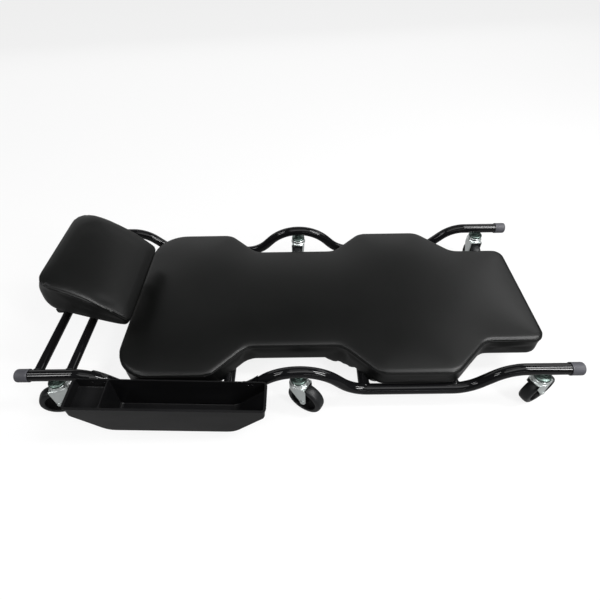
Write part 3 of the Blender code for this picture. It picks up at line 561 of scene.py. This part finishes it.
def railLine():
    slopeRun = railSet["drop"] / math.tan(railSet["slope"])
    low = railHigh - railSet["drop"]
    endBend = capTip - railSet["endRun"]
    half = [(railSet["humpHalf"], railHigh, railSet["humpBend"]),
            (railSet["humpHalf"] + slopeRun, low, railSet["bend"]),
            (endBend - slopeRun, low, railSet["bend"]), (endBend, railHigh, railSet["bend"]),
            (capTip - railSet["tubeEnd"], railHigh, 0)]
    corners = [(-x, z, bend) for x, z, bend in reversed(half)] + half
    return roundedLoop(corners, railSet["steps"])


railPath = railLine()


def railHeight(x):
    for start, end in zip(railPath, railPath[1:]):
        if start.x <= x <= end.x:
            return start.y + (end.y - start.y) * (x - start.x) / (end.x - start.x)
    return railHigh


def railSlope(x):
    return (railHeight(x + 0.002) - railHeight(x - 0.002)) / 0.004


def makeRails():
    for side, y in (("right", rightRailY), ("left", leftRailY)):
        rail = tubeAlong(f"{side}RailTube", [(p.x, y, p.y) for p in railPath], railSet["radius"],
                         railSet["sides"])
        dressed(rail, "enamel", "frame", [f"{side}_rail"])


def makeCrossTubes():
    places = {name: middle(name) for name in
              ("outer_head_tube", "inner_head_tube", "deck_tube_1", "deck_tube_2", "deck_tube_3",
               "deck_tube_4")}
    cutters = [tubeAlong("railCutter", [(p.x, y, p.y) for p in railPath], railSet["radius"] + 0.0002, 32)
               for y in (rightRailY, leftRailY)]
    for node, place in places.items():
        radius = railSet["headTubeRadius"] if "head" in node else railSet["radius"]
        bpy.ops.object.select_all(action="DESELECT")
        bpy.ops.mesh.primitive_cylinder_add(vertices=40, radius=radius, depth=leftRailY - rightRailY,
                                            end_fill_type="NGON", location=(place.x, centreY, place.z),
                                            rotation=(math.pi / 2, 0, 0))
        tube = bpy.context.object
        tube.name = node.replace("_", "") + "Bar"
        bpy.ops.object.transform_apply(location=True, rotation=True, scale=True)
        for cutter in cutters:
            cutBy(tube, cutter, keepCutter=True)
        keepMiddle(tube)
        smoothed(tube)
        dressed(tube, "enamel", "frame", [node])
        for side, y, sign in (("Right", rightRailY, 1), ("Left", leftRailY, -1)):
            makeWeld(f"{tube.name}{side}Weld", place, radius, y, sign)
    for cutter in cutters:
        bpy.data.objects.remove(cutter)


def keepMiddle(tube):
    # drops the slivers that lie on the far sides of the rails
    editAll(tube)
    bpy.ops.mesh.select_all(action="DESELECT")
    leaveEdit()
    reach = (leftRailY - rightRailY) / 2 - railSet["radius"] * 0.25
    for vertex in tube.data.vertices:
        vertex.select = abs(vertex.co.y - centreY) < reach
    bpy.ops.object.mode_set(mode="EDIT")
    bpy.ops.mesh.select_linked()
    bpy.ops.mesh.select_all(action="INVERT")
    bpy.ops.mesh.delete(type="VERT")
    leaveEdit()


def makeWeld(name, place, radius, y, sign):
    # a bead round the end of a cross tube, where it meets the rail
    loop = []
    for k in range(railSet["weldPoints"]):
        angle = 2 * math.pi * k / railSet["weldPoints"]
        x, z = place.x + radius * math.cos(angle), place.z + radius * math.sin(angle)
        rise = (z - railHeight(x)) * math.cos(math.atan(railSlope(x)))
        depth = math.sqrt(max(railSet["radius"] ** 2 - rise ** 2, 0))
        loop.append((x, y + sign * depth, z))
    bead = tubeAlong(name, loop, railSet["weld"], railSet["weldSides"], closed=True)
    for vertex in bead.data.vertices:
        ripple = noise.noise(vertex.co * railSet["rippleScale"])
        vertex.co += vertex.normal * railSet["ripple"] * ripple
    dressed(bead, "enamel", "frame", ())


capSet = {"bore": 0.01295, "radius": 0.0145, "length": 0.028, "floor": 0.0250}


def makeEndCaps():
    bore, radius, length, floor = (capSet[key] for key in ("bore", "radius", "length", "floor"))
    profile = [(0, floor), (bore, floor), (bore, 0), (radius - 0.0004, 0), (radius, 0.0005),
               (radius, 0.0030), (radius - 0.0002, 0.0034), (radius - 0.0002, length - 0.0040),
               (radius - 0.0006, length - 0.0020), (radius - 0.0017, length - 0.0006),
               (radius - 0.0034, length), (0, length)]
    cap = spun("capModel", profile, 48)
    for end, sign in (("head", -1), ("foot", 1)):
        for side, y in (("right", rightRailY), ("left", leftRailY)):
            turn = Matrix.Rotation(sign * math.pi / 2, 4, "Y")
            place = Matrix.Translation((sign * (capTip - length), y, railHigh))
            twin = smoothed(copied(cap, f"{end}{side.title()}Cap", place @ turn), 40)
            dressed(twin, "cap", "frame", [f"{end}_{side}_end_cap"])
    bpy.data.objects.remove(cap)


# soft pads

deckSet = {
    "voxel": 0.0045, "pressure": 4.0, "cap": 0.006, "swell": 0.0016, "frames": 20, "fill": 0.85,
    "seam": 0.0345, "crown": 0.0098, "skirt": 0.0095, "draw": 0.004, "boardInset": 0.012,
    "grooveDepth": 0.0012, "grooveWidth": 0.0026, "grow": 0.0016,
    "heldBand": 0.008, "heldBelow": 0.012, "pocketGap": 0.0008, "pocketRise": 0.0005, "pocketDeep": 0.02,
    # the rolled edge: how far in, and the share of the crown's height there
    "roll": [(0.002, 0.22), (0.004, 0.39), (0.007, 0.60), (0.010, 0.75), (0.014, 0.87),
             (0.018, 0.92), (0.042, 0.97), (0.075, 1.0)],
    # the hem: its height, how far it hangs, and how far out it stays clear of the rails
    "hemHeight": 0.016, "hang": 0.0085, "hemReach": 0.2295, "hemFade": 0.006,
    # how much lower the slanted edges reach beside the rails
    "slantDrop": 0.0065, "slantFrom": 0.195, "slantRun": 0.020,
    # loose hem at a waist corner: where it starts and ends along the pad, how far it hangs
    "flap": (0.062, 0.078, 0.118, 0.130), "flapDrop": 0.0175, "flapFrom": 0.135, "flapRun": 0.02,
    "foldWave": (0.12, 310), "foldNoise": (0.10, 160),
    # outline corners of the left half: place along, across from the middle, corner radius
    "half": [(0.5675, 0.159, 0.028), (0.429, 0.159, 0.040), (0.345, 0.243, 0.045),
             (0.176, 0.243, 0.045), (0.099, 0.166, 0.040), (-0.117, 0.166, 0.040),
             (-0.194, 0.243, 0.045), (-0.410, 0.243, 0.084)],
}


def deckLoop(distance, steps=10):
    half = deckSet["half"]
    corners = half + [(x, -y, bend) for x, y, bend in reversed(half)]
    return [Vector((p.x, p.y + centreY)) for p in roundedLoop(movedIn(corners, distance), steps)]


clothSet = {"quality": 4, "mass": 0.25, "stiffness": 20, "bending": 1.5}


def padBody(name, rings, voxel):
    pad = lofted(name, rings)
    only(pad)
    pad.data.remesh_voxel_size = voxel
    bpy.ops.object.voxel_remesh()
    editAll(pad)
    bpy.ops.mesh.vertices_smooth(factor=0.5, repeat=2)
    leaveEdit()
    return pad


def puffed(pad, settings, heldWeight):
    # cloth under pressure, its seam and underside held, with a cap on each point's travel
    group = pad.vertex_groups.new(name="held")
    for vertex in pad.data.vertices:
        weight = heldWeight(vertex.co)
        if weight > 0:
            group.add([vertex.index], weight, "REPLACE")
    only(pad)
    cloth = pad.modifiers.new("puff", "CLOTH")
    cloth.settings.quality = clothSet["quality"]
    cloth.settings.mass = clothSet["mass"]
    cloth.settings.tension_stiffness = cloth.settings.compression_stiffness = clothSet["stiffness"]
    cloth.settings.bending_stiffness = clothSet["bending"]
    cloth.settings.use_pressure = True
    cloth.settings.uniform_pressure_force = settings["pressure"]
    cloth.settings.effector_weights.gravity = 0
    cloth.settings.vertex_group_mass = "held"
    cloth.point_cache.frame_start, cloth.point_cache.frame_end = 1, settings["frames"]
    scene = bpy.context.scene
    for step in range(1, settings["frames"] + 1):
        scene.frame_set(step)
    result = pad.evaluated_get(bpy.context.evaluated_depsgraph_get()).to_mesh()
    moved = [vertex.co.copy() for vertex in result.vertices]
    furthest = 0
    for vertex, there in zip(pad.data.vertices, moved):
        travel = there - vertex.co
        furthest = max(furthest, travel.length)
        if travel.length > settings["cap"]:
            travel *= settings["cap"] / travel.length
        vertex.co += travel
    pad.evaluated_get(bpy.context.evaluated_depsgraph_get()).to_mesh_clear()
    pad.modifiers.remove(cloth)
    pad.vertex_groups.remove(group)
    scene.frame_set(1)
    editAll(pad)
    bpy.ops.mesh.vertices_smooth(factor=0.5, repeat=2)
    leaveEdit()
    print(pad.name, "puffed, furthest point", round(furthest * 1000, 2), "mm")


def heldShare(settings, height, fromEdge):
    # all of the underside, and a band along the seam
    if height <= settings["heldBelow"]:
        return 1.0
    return min(1.0, max(0.0, 1 - fromEdge / settings["heldBand"]) * 1.5)


def makeDeckPad():
    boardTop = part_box("deck_board")[1].z
    skirt, seam = boardTop - deckSet["skirt"], boardTop + deckSet["seam"]
    swell, draw, crown = deckSet["swell"], deckSet["draw"], deckSet["crown"] - deckSet["swell"]
    grow = deckSet["grow"]
    levels = [(draw + swell, skirt), (draw * 0.3 + swell, skirt + 0.004),
              (draw * 0.8 + swell, (skirt + seam) / 2), (draw * 0.4 + swell, seam - 0.004),
              (0.0, seam)]
    # the edge of the top rolls over like a quarter round
    levels += [(distance, seam + crown * share) for distance, share in deckSet["roll"]]
    rings = [[(p.x, p.y, z) for p in deckLoop(distance - grow)] for distance, z in levels]
    pad = padBody("deckPad", rings, deckSet["voxel"])

    puffed(pad, deckSet, lambda place: heldShare(deckSet, place.z - skirt, abs(place.z - seam)))
    applyModifier(pad, "SUBSURF", levels=1, render_levels=1)
    sewn(pad, lambda place: place.z - seam, deckSet)
    # the board's pocket, open underneath
    pocket = [[(p.x, p.y, z) for p in deckLoop(deckSet["boardInset"] - deckSet["pocketGap"])]
              for z in (skirt - deckSet["pocketDeep"], boardTop + deckSet["pocketRise"])]
    cutBy(pad, lofted("pocketCutter", pocket))
    lowerHem(pad, skirt)
    markSeam(pad, lambda place: place.z - seam)
    smoothed(pad, 60)
    dressed(pad, "vinyl", "frame", ["deck_cushion"])
    print("deck pad:", len(pad.data.polygons), "faces")


def lowerHem(pad, skirt):
    # the cover hangs a little lower clear of the rails, and bunches at one waist corner
    d = deckSet
    start, full, fade, end = d["flap"]
    waveHeight, waveTurns = d["foldWave"]
    roughHeight, roughScale = d["foldNoise"]
    for vertex in pad.data.vertices:
        place = vertex.co
        share = clamped((skirt + d["hemHeight"] - place.z) / d["hemHeight"]) ** 1.5
        if share <= 0:
            continue
        out = abs(place.y - centreY)
        clear = clamped((d["hemReach"] - out) / d["hemFade"])
        slant = clamped((out - d["slantFrom"]) / d["slantRun"])
        drop = (d["hang"] + d["slantDrop"] * slant) * clear
        if place.y < centreY:
            fold = clamped(min((place.x - start) / (full - start), (end - place.x) / (end - fade)))
            fold *= (1 + waveHeight * math.sin(place.x * waveTurns)
                     + roughHeight * noise.noise(place * roughScale))
            drop += d["flapDrop"] * fold * clamped((out - d["flapFrom"]) / d["flapRun"]) * clear
        place.z -= drop * share


def markSeam(pad, fromSeam):
    layer = pad.data.attributes.new("seamHeight", "FLOAT", "POINT")
    layer.data.foreach_set("value", [fromSeam(vertex.co) for vertex in pad.data.vertices])


def sewn(pad, fromSeam, settings):
    # the groove where the top panel is sewn to the side band
    pad.data.update()
    moves = []
    for vertex in pad.data.vertices:
        share = math.exp(-(fromSeam(vertex.co) / settings["grooveWidth"]) ** 2)
        moves.append(vertex.normal * (-settings["grooveDepth"] * share))
    for vertex, move in zip(pad.data.vertices, moves):
        vertex.co += move


headrestSet = {
    "voxel": 0.004, "pressure": 4.0, "cap": 0.005, "swell": 0.0014, "frames": 20, "fill": 0.9,
    "length": 0.197, "half": 0.128, "nose": 0.023, "thick": 0.071, "roll": 0.008, "crown": 0.008,
    "corner": 0.013, "boardCorner": 0.009, "tailCorner": 0.040, "heel": 0.014, "noseDraw": 0.006,
    "setback": 0.0175, "grow": 0.0014, "bulge": 0.003, "sideBulge": 0.0028,
    "boardInsets": (0.012, 0.030, 0.012), "boardThick": 0.010, "drop": 0.008, "draw": 0.004,
    "grooveDepth": 0.0011, "grooveWidth": 0.0024, "heldBand": 0.006, "heldBelow": 0.010,
    "pocketGap": 0.0008, "pocketRise": 0.0005, "pocketDeep": 0.02,
    # the wedge rises to its peak at a share of the length, and falls again near the tail
    "peak": 0.87, "wedgeBend": 0.85, "fallFrom": 0.72, "fallRun": 0.28,
    # rings of the top: share of the length moved in, share of the crown, corner radius factor
    "top": [(0.018, 0.25, 1.1), (0.05, 0.5, 1.25), (0.104, 0.70, 1.4), (0.233, 0.92, 1.4),
            (0.36, 1.0, 0.8)],
    # how far the seam runs below the top's edge at the nose and across the tail
    "seamFall": 0.012, "seamShare": 0.5, "tailFall": 0.014, "tailBand": 0.020, "tailRun": 0.018,
    # the soft dent beside the seam: depth, place and half size along and across, least height
    "dent": 0.0014, "dentPlace": (-0.0435, -0.112), "dentSize": (0.020, 0.010), "dentAbove": 0.012,
}


def headrestLoop(nose, tail, half, corner, tailCorner, steps=8):
    # the long sides swell a little between their corners
    between = [(nose + (tail - nose) * k / 8, math.sin(math.pi * k / 8)) for k in range(2, 7)]
    swell = headrestSet["sideBulge"]
    side = [(nose, half, corner)] + [(x, half + swell * share, 0) for x, share in between]
    side.append((tail, half, tailCorner))
    corners = side + [(x, -y, bend) for x, y, bend in reversed(side)]
    return roundedLoop(corners, steps)


def headrestRise(x):
    along = (headrestSet["setback"] - x) / headrestSet["length"]
    wedge = math.sin(math.pi / 2 * clamped(along / headrestSet["peak"])) ** headrestSet["wedgeBend"]
    fall = max(0.0, (along - headrestSet["fallFrom"]) / headrestSet["fallRun"]) ** 2
    return (headrestSet["nose"] + (headrestSet["thick"] - headrestSet["nose"]) * wedge
            - headrestSet["roll"] * fall)


def makeHeadrestPad():
    s = headrestSet
    nose, tail = s["setback"], s["setback"] - s["length"]
    swell, draw, drop = s["swell"], s["draw"], s["drop"]
    # drawn in at the nose, the tail and the sides, at a share of the seam's height
    levels = [(s["noseDraw"], s["heel"], draw, 0.0),
              (s["noseDraw"] / 2, s["heel"] * 0.42, draw * 0.4, 0.14),
              (0.002, -s["bulge"], draw * 0.8, 0.50),
              (0.001, -s["bulge"] / 3, draw * 0.4, 0.88), (0, 0, 0, 1.0)]
    rings = []
    for atNose, atTail, atSide, share in levels:
        grow = (swell if 0 < share < 1 else 0.0) - s["grow"]
        loop = headrestLoop(nose - atNose - grow, tail + atTail + grow, s["half"] - atSide - grow,
                            s["corner"], s["tailCorner"])
        rings.append([(p.x, p.y, drop + share * headrestRise(p.x)) for p in loop])
    for share, rise, bend in s["top"]:
        distance = share * s["length"] - s["grow"]
        loop = headrestLoop(nose - distance, tail + distance, s["half"] - distance,
                            s["corner"] * bend, s["tailCorner"] * min(bend, 0.8 if share > 0.3 else bend))
        rings.append([(p.x, p.y, drop + headrestRise(p.x) + rise * (s["crown"] - swell)) for p in loop])
    pad = padBody("headrestPad", rings, s["voxel"])

    def fromSeam(place):
        # towards the nose, and across the tail, the seam runs lower than the edge of the top
        near = max(0.0, 1 - (nose - place.x) / (s["seamShare"] * s["length"]))
        back = clamped((tail + s["tailBand"] - place.x) / s["tailRun"])
        return (place.z - drop - headrestRise(place.x) + s["seamFall"] * min(1.0, near) ** 1.3
                + s["tailFall"] * back)

    puffed(pad, s, lambda place: heldShare(s, place.z - drop, abs(place.z - drop - headrestRise(place.x))))
    applyModifier(pad, "SUBSURF", levels=1, render_levels=1)
    sewn(pad, fromSeam, s)
    insetNose, insetTail, insetSide = s["boardInsets"]
    grow = s["pocketGap"]
    corner = s["boardCorner"] + grow
    ends = (nose - insetNose + grow, tail + insetTail - grow)
    reach = s["half"] - insetSide + grow
    board = roundedLoop([(ends[0], reach, corner), (ends[1], reach, corner), (ends[1], -reach, corner),
                         (ends[0], -reach, corner)], 6)
    pocket = [[(p.x, p.y, z) for p in board]
              for z in (drop - s["pocketDeep"], drop + s["boardThick"] + s["pocketRise"])]
    cutBy(pad, lofted("pocketCutter", pocket))
    # a soft dent beside the seam on the near side
    (dentX, dentY), (dentLong, dentWide) = s["dentPlace"], s["dentSize"]
    for vertex in pad.data.vertices:
        along, across = (vertex.co.x - dentX) / dentLong, (vertex.co.y - dentY) / dentWide
        if vertex.co.z > drop + s["dentAbove"]:
            vertex.co.z -= s["dent"] * math.exp(-along ** 2 - across ** 2)
    markSeam(pad, fromSeam)
    pad.data.transform(headrestFrame)
    smoothed(pad, 60)
    dressed(pad, "vinyl", "headrest", ["headrest_cushion"])
    print("headrest pad:", len(pad.data.polygons), "faces")


# casters

wheelSet = {"radius": 0.042, "half": 0.013, "rim": 0.0305, "hubHalf": 0.0142, "bore": 0.0043,
            "segments": 64}


def wheelModels():
    radius, half, rim = wheelSet["radius"], wheelSet["half"], wheelSet["rim"]
    shoulder = [(rim, half - 0.0008), (rim + 0.0008, half - 0.0001), (rim + 0.0022, half),
                (rim + 0.0046, half - 0.0002), (radius - 0.0036, half - 0.0010),
                (radius - 0.0018, half - 0.0026), (radius - 0.0007, half - 0.0050),
                (radius - 0.0002, half - 0.0084)]
    profile = shoulder + [(radius, 0)] + [(r, -y) for r, y in reversed(shoulder)]
    profile += [(rim - 0.0004, -half + 0.0024), (rim - 0.0004, half - 0.0024), shoulder[0]]
    tyre = spun("tyreModel", profile, wheelSet["segments"])
    hub = wheelSet["hubHalf"]
    face = [(wheelSet["bore"], hub), (0.0088, hub), (0.0097, hub - 0.0008), (0.0104, hub - 0.0062),
            (0.0118, 0.0056), (0.0160, 0.0052), (0.0165, 0.0058), (0.0178, 0.0058), (0.0183, 0.0052),
            (0.0252, 0.0052), (0.0272, 0.0064), (0.0286, 0.0100), (0.0291, half - 0.0014),
            (rim - 0.0004, half - 0.0014)]
    disc = spun("discModel", face + [(r, -y) for r, y in reversed(face)] + [face[0]], wheelSet["segments"])
    return smoothed(tyre, 40), smoothed(disc, 40)


forkSet = {"ease": 0.0009, "crownTop": 0.0920, "front": 0.0257, "rear": 0.0190, "half": 0.0174,
           "corner": 0.0105, "rivetSeat": 0.0173, "postGap": 0.0004}


def forkModel(inverse):
    # pressed fork with the corners of its crown rounded in plan
    fork = mergedCopy("mid_right_fork", "forkModel", inverse)
    front, rear, half, corner = (forkSet[key] for key in ("front", "rear", "half", "corner"))
    plan = roundedLoop([(-rear, -half, corner), (front, -half, corner * 0.6), (front, half, corner * 0.6),
                        (-rear, half, corner)], 8)
    keep = lofted("planCutter", [[(p.x, p.y, z) for p in plan] for z in (0.0, forkSet["crownTop"] + 0.01)])
    applyModifier(fork, "BOOLEAN", object=keep, operation="INTERSECT", solver="EXACT")
    bpy.data.objects.remove(keep)
    return evened(rounded(fork, forkSet["ease"]))


def mountModel(postTop):
    # post, upper race and kingpin on one axis
    crown = forkSet["crownTop"]
    profile = [(0, postTop), (0.0066, postTop), (0.0070, postTop - 0.0006), (0.0070, crown + 0.0172),
               (0.0088, crown + 0.0164), (0.0150, crown + 0.0160), (0.0172, crown + 0.0152),
               (0.0182, crown + 0.0138), (0.0185, crown + 0.0122), (0.0183, crown + 0.0106),
               (0.0176, crown + 0.0099), (0.0050, crown + 0.0098), (0.0050, crown - 0.0028),
               (0.0080, crown - 0.0028), (0.0080, crown - 0.0044), (0.0066, crown - 0.0053),
               (0, crown - 0.0053)]
    return smoothed(spun("mountModel", profile, 48), 40)


def racewayModel():
    # lower raceway pressed up out of the fork's crown, in two steps
    crown = forkSet["crownTop"]
    profile = [(0.0140, crown + 0.0002), (0.0200, crown - 0.0006), (0.0206, crown - 0.0002),
               (0.0207, crown + 0.0008), (0.0203, crown + 0.0016), (0.0196, crown + 0.0020),
               (0.0191, crown + 0.0026), (0.0188, crown + 0.0036), (0.0184, crown + 0.0066),
               (0.0178, crown + 0.0082), (0.0166, crown + 0.0091), (0.0152, crown + 0.0091),
               (0.0145, crown + 0.0084), (0.0140, crown + 0.0002)]
    return smoothed(spun("racewayModel", profile, 48), 50)


nutSet = {"radius": 0.0104, "depth": 0.0062, "bore": 0.0072, "ease": 0.0006, "drop": 0.0040}


def nutModel(middleHeight):
    # hexagon nut under the rail
    bpy.ops.object.select_all(action="DESELECT")
    bpy.ops.mesh.primitive_cylinder_add(vertices=6, radius=nutSet["radius"], depth=nutSet["depth"],
                                        location=(0, 0, middleHeight))
    nut = bpy.context.object
    bpy.ops.object.transform_apply(location=True, rotation=True, scale=True)
    bore, low, high = nutSet["bore"], middleHeight - 0.01, middleHeight + 0.01
    cutBy(nut, spun("boreCutter", [(0, low), (bore, low), (bore, high), (0, high)], 32))
    return smoothed(rounded(nut, nutSet["ease"]))


def rivetModel():
    # axle with a domed head at each end, along Z
    seat = forkSet["rivetSeat"]
    half = [(0.0040, seat), (0.0058, seat), (0.0058, seat + 0.0005), (0.0052, seat + 0.0012),
            (0.0038, seat + 0.0017), (0.0030, seat + 0.0016), (0.0024, seat + 0.0010), (0, seat + 0.0010)]
    return smoothed(spun("rivetModel", [(r, -z) for r, z in reversed(half)] + half, 32), 40)


def casterPlaces(name):
    swivel, spin = (Vector(joints[f"{name}_{kind}"]["pos_m"]) for kind in ("swivel", "spin"))
    yaw = math.atan2(spin.y - swivel.y, spin.x - swivel.x)
    return spin, Matrix.Translation((swivel.x, swivel.y, 0)), Matrix.Rotation(yaw, 4, "Z")


def makeCasters():
    tyre, disc = wheelModels()
    rivet = rivetModel()
    raceway = racewayModel()
    under = railHigh - railSet["radius"]
    mountPost = mountModel(under - forkSet["postGap"])
    hexNut = nutModel(under - nutSet["drop"])
    upright = Matrix.Rotation(math.pi / 2, 4, "X")
    spin, spot, turn = casterPlaces("mid_right")
    fork = forkModel((spot @ turn).inverted())
    for name in casterNames:
        spin, spot, turn = casterPlaces(name)
        wheelPlace = Matrix.Translation(spin) @ turn @ upright
        short = "".join(word.title() for word in name.split("_"))
        # the mount and nut take the zinc darkened with painted shade
        mount = copied(mountPost, f"{short}Mount", spot)
        dressed(mount, "race", "frame", [f"{name}_caster_mount"])
        nut = copied(hexNut, f"{short}Nut", spot)
        dressed(nut, "race", "frame", ())
        leg = copied(fork, f"{short}Fork", spot @ turn)
        dressed(leg, "zinc", f"{name}_swivel", [f"{name}_fork"])
        dome = copied(raceway, f"{short}Raceway", spot)
        dressed(dome, "zinc", f"{name}_swivel", ())
        axle = copied(rivet, f"{short}Rivet", wheelPlace)
        dressed(axle, "zinc", f"{name}_swivel", [f"{name}_axle"])
        tread = copied(tyre, f"{short}Tread", wheelPlace)
        dressed(tread, "tyre", f"{name}_wheel", [f"{name}_wheel"])
        hub = copied(disc, f"{short}Disc", wheelPlace)
        dressed(hub, "disc", f"{name}_wheel", ())
    for model in (tyre, disc, rivet, raceway, mountPost, hexNut, fork):
        bpy.data.objects.remove(model)
    print("casters done")


# tray and headrest fittings

easeSet = {
    # node: piece, finish, body, slot, edge width
    "side_tray": ("toolTray", "tray", "tray", "tray_plastic", 0.0009),
    "head_tray_hook": ("headHook", "enamel", "tray", "black_enamel", 0.0006),
    "foot_tray_hook": ("footHook", "enamel", "tray", "black_enamel", 0.0006),
    "right_headrest_carrier": ("rightCarrier", "enamel", "frame", "black_enamel", 0.0007),
    "left_headrest_carrier": ("leftCarrier", "enamel", "frame", "black_enamel", 0.0007),
    "right_hinge_ear": ("rightEar", "enamel", "headrest", "black_enamel", 0.0005),
    "left_hinge_ear": ("leftEar", "enamel", "headrest", "black_enamel", 0.0005),
    "right_rest_pad": ("rightRestPad", "foot", "headrest", "dark_rubber", 0.0006),
    "left_rest_pad": ("leftRestPad", "foot", "headrest", "dark_rubber", 0.0006),
    "hinge_rod": ("hingePin", "zinc", "frame", "bright_zinc", 0.0005),
}


def makeEasedPieces():
    for node, (name, finish, body, slot, width) in easeSet.items():
        piece = evened(rounded(mergedCopy(node, name), width))
        dressed(piece, finish, body, [node])


screwSet = {"radius": 0.0046, "height": 0.0026, "slot": 0.0011, "deckY": 0.118, "sink": 0.0003,
            "earX": (-0.018, -0.036), "earY": 0.0465, "earTop": 0.0047, "earScale": 0.72}


def screwModel():
    # pan head with a cross recess, its seat at zero and its head below
    radius, height, slot = screwSet["radius"], screwSet["height"], screwSet["slot"]
    profile = [(0, 0), (radius, 0), (radius, -height * 0.35), (radius * 0.93, -height * 0.66),
               (radius * 0.72, -height * 0.9), (radius * 0.4, -height), (0, -height)]
    screw = spun("screwModel", profile, 24)
    for turn in (0, math.pi / 2):
        bpy.ops.object.select_all(action="DESELECT")
        bpy.ops.mesh.primitive_cube_add(size=1, location=(0, 0, -height), rotation=(0, 0, turn))
        bar = bpy.context.object
        bar.scale = (radius * 1.15, slot, height * 0.9)
        bpy.ops.object.transform_apply(location=True, rotation=True, scale=True)
        cutBy(screw, bar)
    return smoothed(screw, 35)


def makeScrews():
    screw = screwModel()
    for number in range(1, 5):
        tube = middle(f"deck_tube_{number}")
        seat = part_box(f"deck_tube_{number}")[0].z + screwSet["sink"]
        for side, sign in (("Right", -1), ("Left", 1)):
            turn = Matrix.Rotation(0.7 * number + sign, 4, "Z")
            place = Matrix.Translation((tube.x, centreY + sign * screwSet["deckY"], seat))
            twin = copied(screw, f"deckScrew{number}{side}", place @ turn)
            dressed(twin, "zinc", "frame", ())
    for side, sign in (("Right", -1), ("Left", 1)):
        for number, x in enumerate(screwSet["earX"], 1):
            place = Matrix.Translation((x, sign * screwSet["earY"], screwSet["earTop"]))
            twin = copied(screw, f"earScrew{number}{side}",
                          headrestFrame @ place @ Matrix.Scale(screwSet["earScale"], 4))
            dressed(twin, "zinc", "headrest", ())
    bpy.data.objects.remove(screw)


rivetSet = {"radius": 0.0036, "height": 0.0013, "back": 0.0185, "fall": 0.013, "inset": 0.009,
            "rimSlope": math.radians(3.4)}


def makeHookRivets():
    # domed heads on the inner face of the tray's back wall, two to a hook
    radius, height = rivetSet["radius"], rivetSet["height"]
    profile = [(0, 0), (radius, 0), (radius, height * 0.25), (radius * 0.85, height * 0.7),
               (radius * 0.5, height * 0.96), (0, height)]
    model = smoothed(spun("hookRivetModel", profile, 24), 50)
    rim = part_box("side_tray")[1].z
    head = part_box("side_tray")[0].x
    for end in ("head", "foot"):
        low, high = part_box(f"{end}_tray_hook")
        for number, x in enumerate((low.x + rivetSet["inset"], high.x - rivetSet["inset"]), 1):
            z = rim - (x - head) * math.tan(rivetSet["rimSlope"]) - rivetSet["fall"]
            place = Matrix.Translation((x, rightRailY - rivetSet["back"], z))
            turn = Matrix.Rotation(math.pi / 2, 4, "X")
            twin = copied(model, f"{end}HookRivet{number}", place @ turn)
            dressed(twin, "enamel", "tray", ())
    bpy.data.objects.remove(model)


def dressNodes():
    for node, obj in nodes.items():
        if obj.hide_render:
            continue
        finish = "plywood" if node.endswith("board") else "nylon" if node.endswith("washer") else "steel"
        obj.data.materials.clear()
        obj.data.materials.append(finishes[finish])


def makeFloor():
    bpy.ops.object.select_all(action="DESELECT")
    bpy.ops.mesh.primitive_plane_add(size=stageSet["floorSize"], location=(0, 0, -stageSet["floorDrop"]))
    floor = bpy.context.object
    floor.name = "studioFloor"
    finish = Finish("paleFloor")
    # the camera sees mostly white, with a share of the lit floor for the shadow
    camera, gloss, glass = finish.rays()
    seen = finish.math("MAXIMUM", camera * stageSet["floorSeen"], (gloss + glass) * stageSet["floorGloss"])
    finish.feed(finish.shader.inputs["Base Color"],
                finish.mixed(camera, stageSet["floorBounce"], stageSet["floorPale"]))
    finish.shader.inputs["Roughness"].default_value = stageSet["floorRoughness"]
    glow = finish.node("ShaderNodeEmission", None, {"Color": (1.0, 1.0, 1.0), "Strength": 1.0}, "Emission")
    mix = finish.node("ShaderNodeMixShader", None,
                      {0: seen, 1: Wire(finish, finish.shader.outputs[0]), 2: glow}, "Shader")
    finish.feed(finish.tree.nodes["Material Output"].inputs["Surface"], mix)
    floor.data.materials.append(finish.material)


makeCamera()
makeLights()
makeFloor()
print("stage set")
makeRails()
makeCrossTubes()
makeEndCaps()
print("frame tubes done")
makeCasters()
makeEasedPieces()
makeScrews()
makeHookRivets()
print("fittings done")
makeDeckPad()
makeHeadrestPad()
dressNodes()
bpy.ops.object.select_all(action="DESELECT")
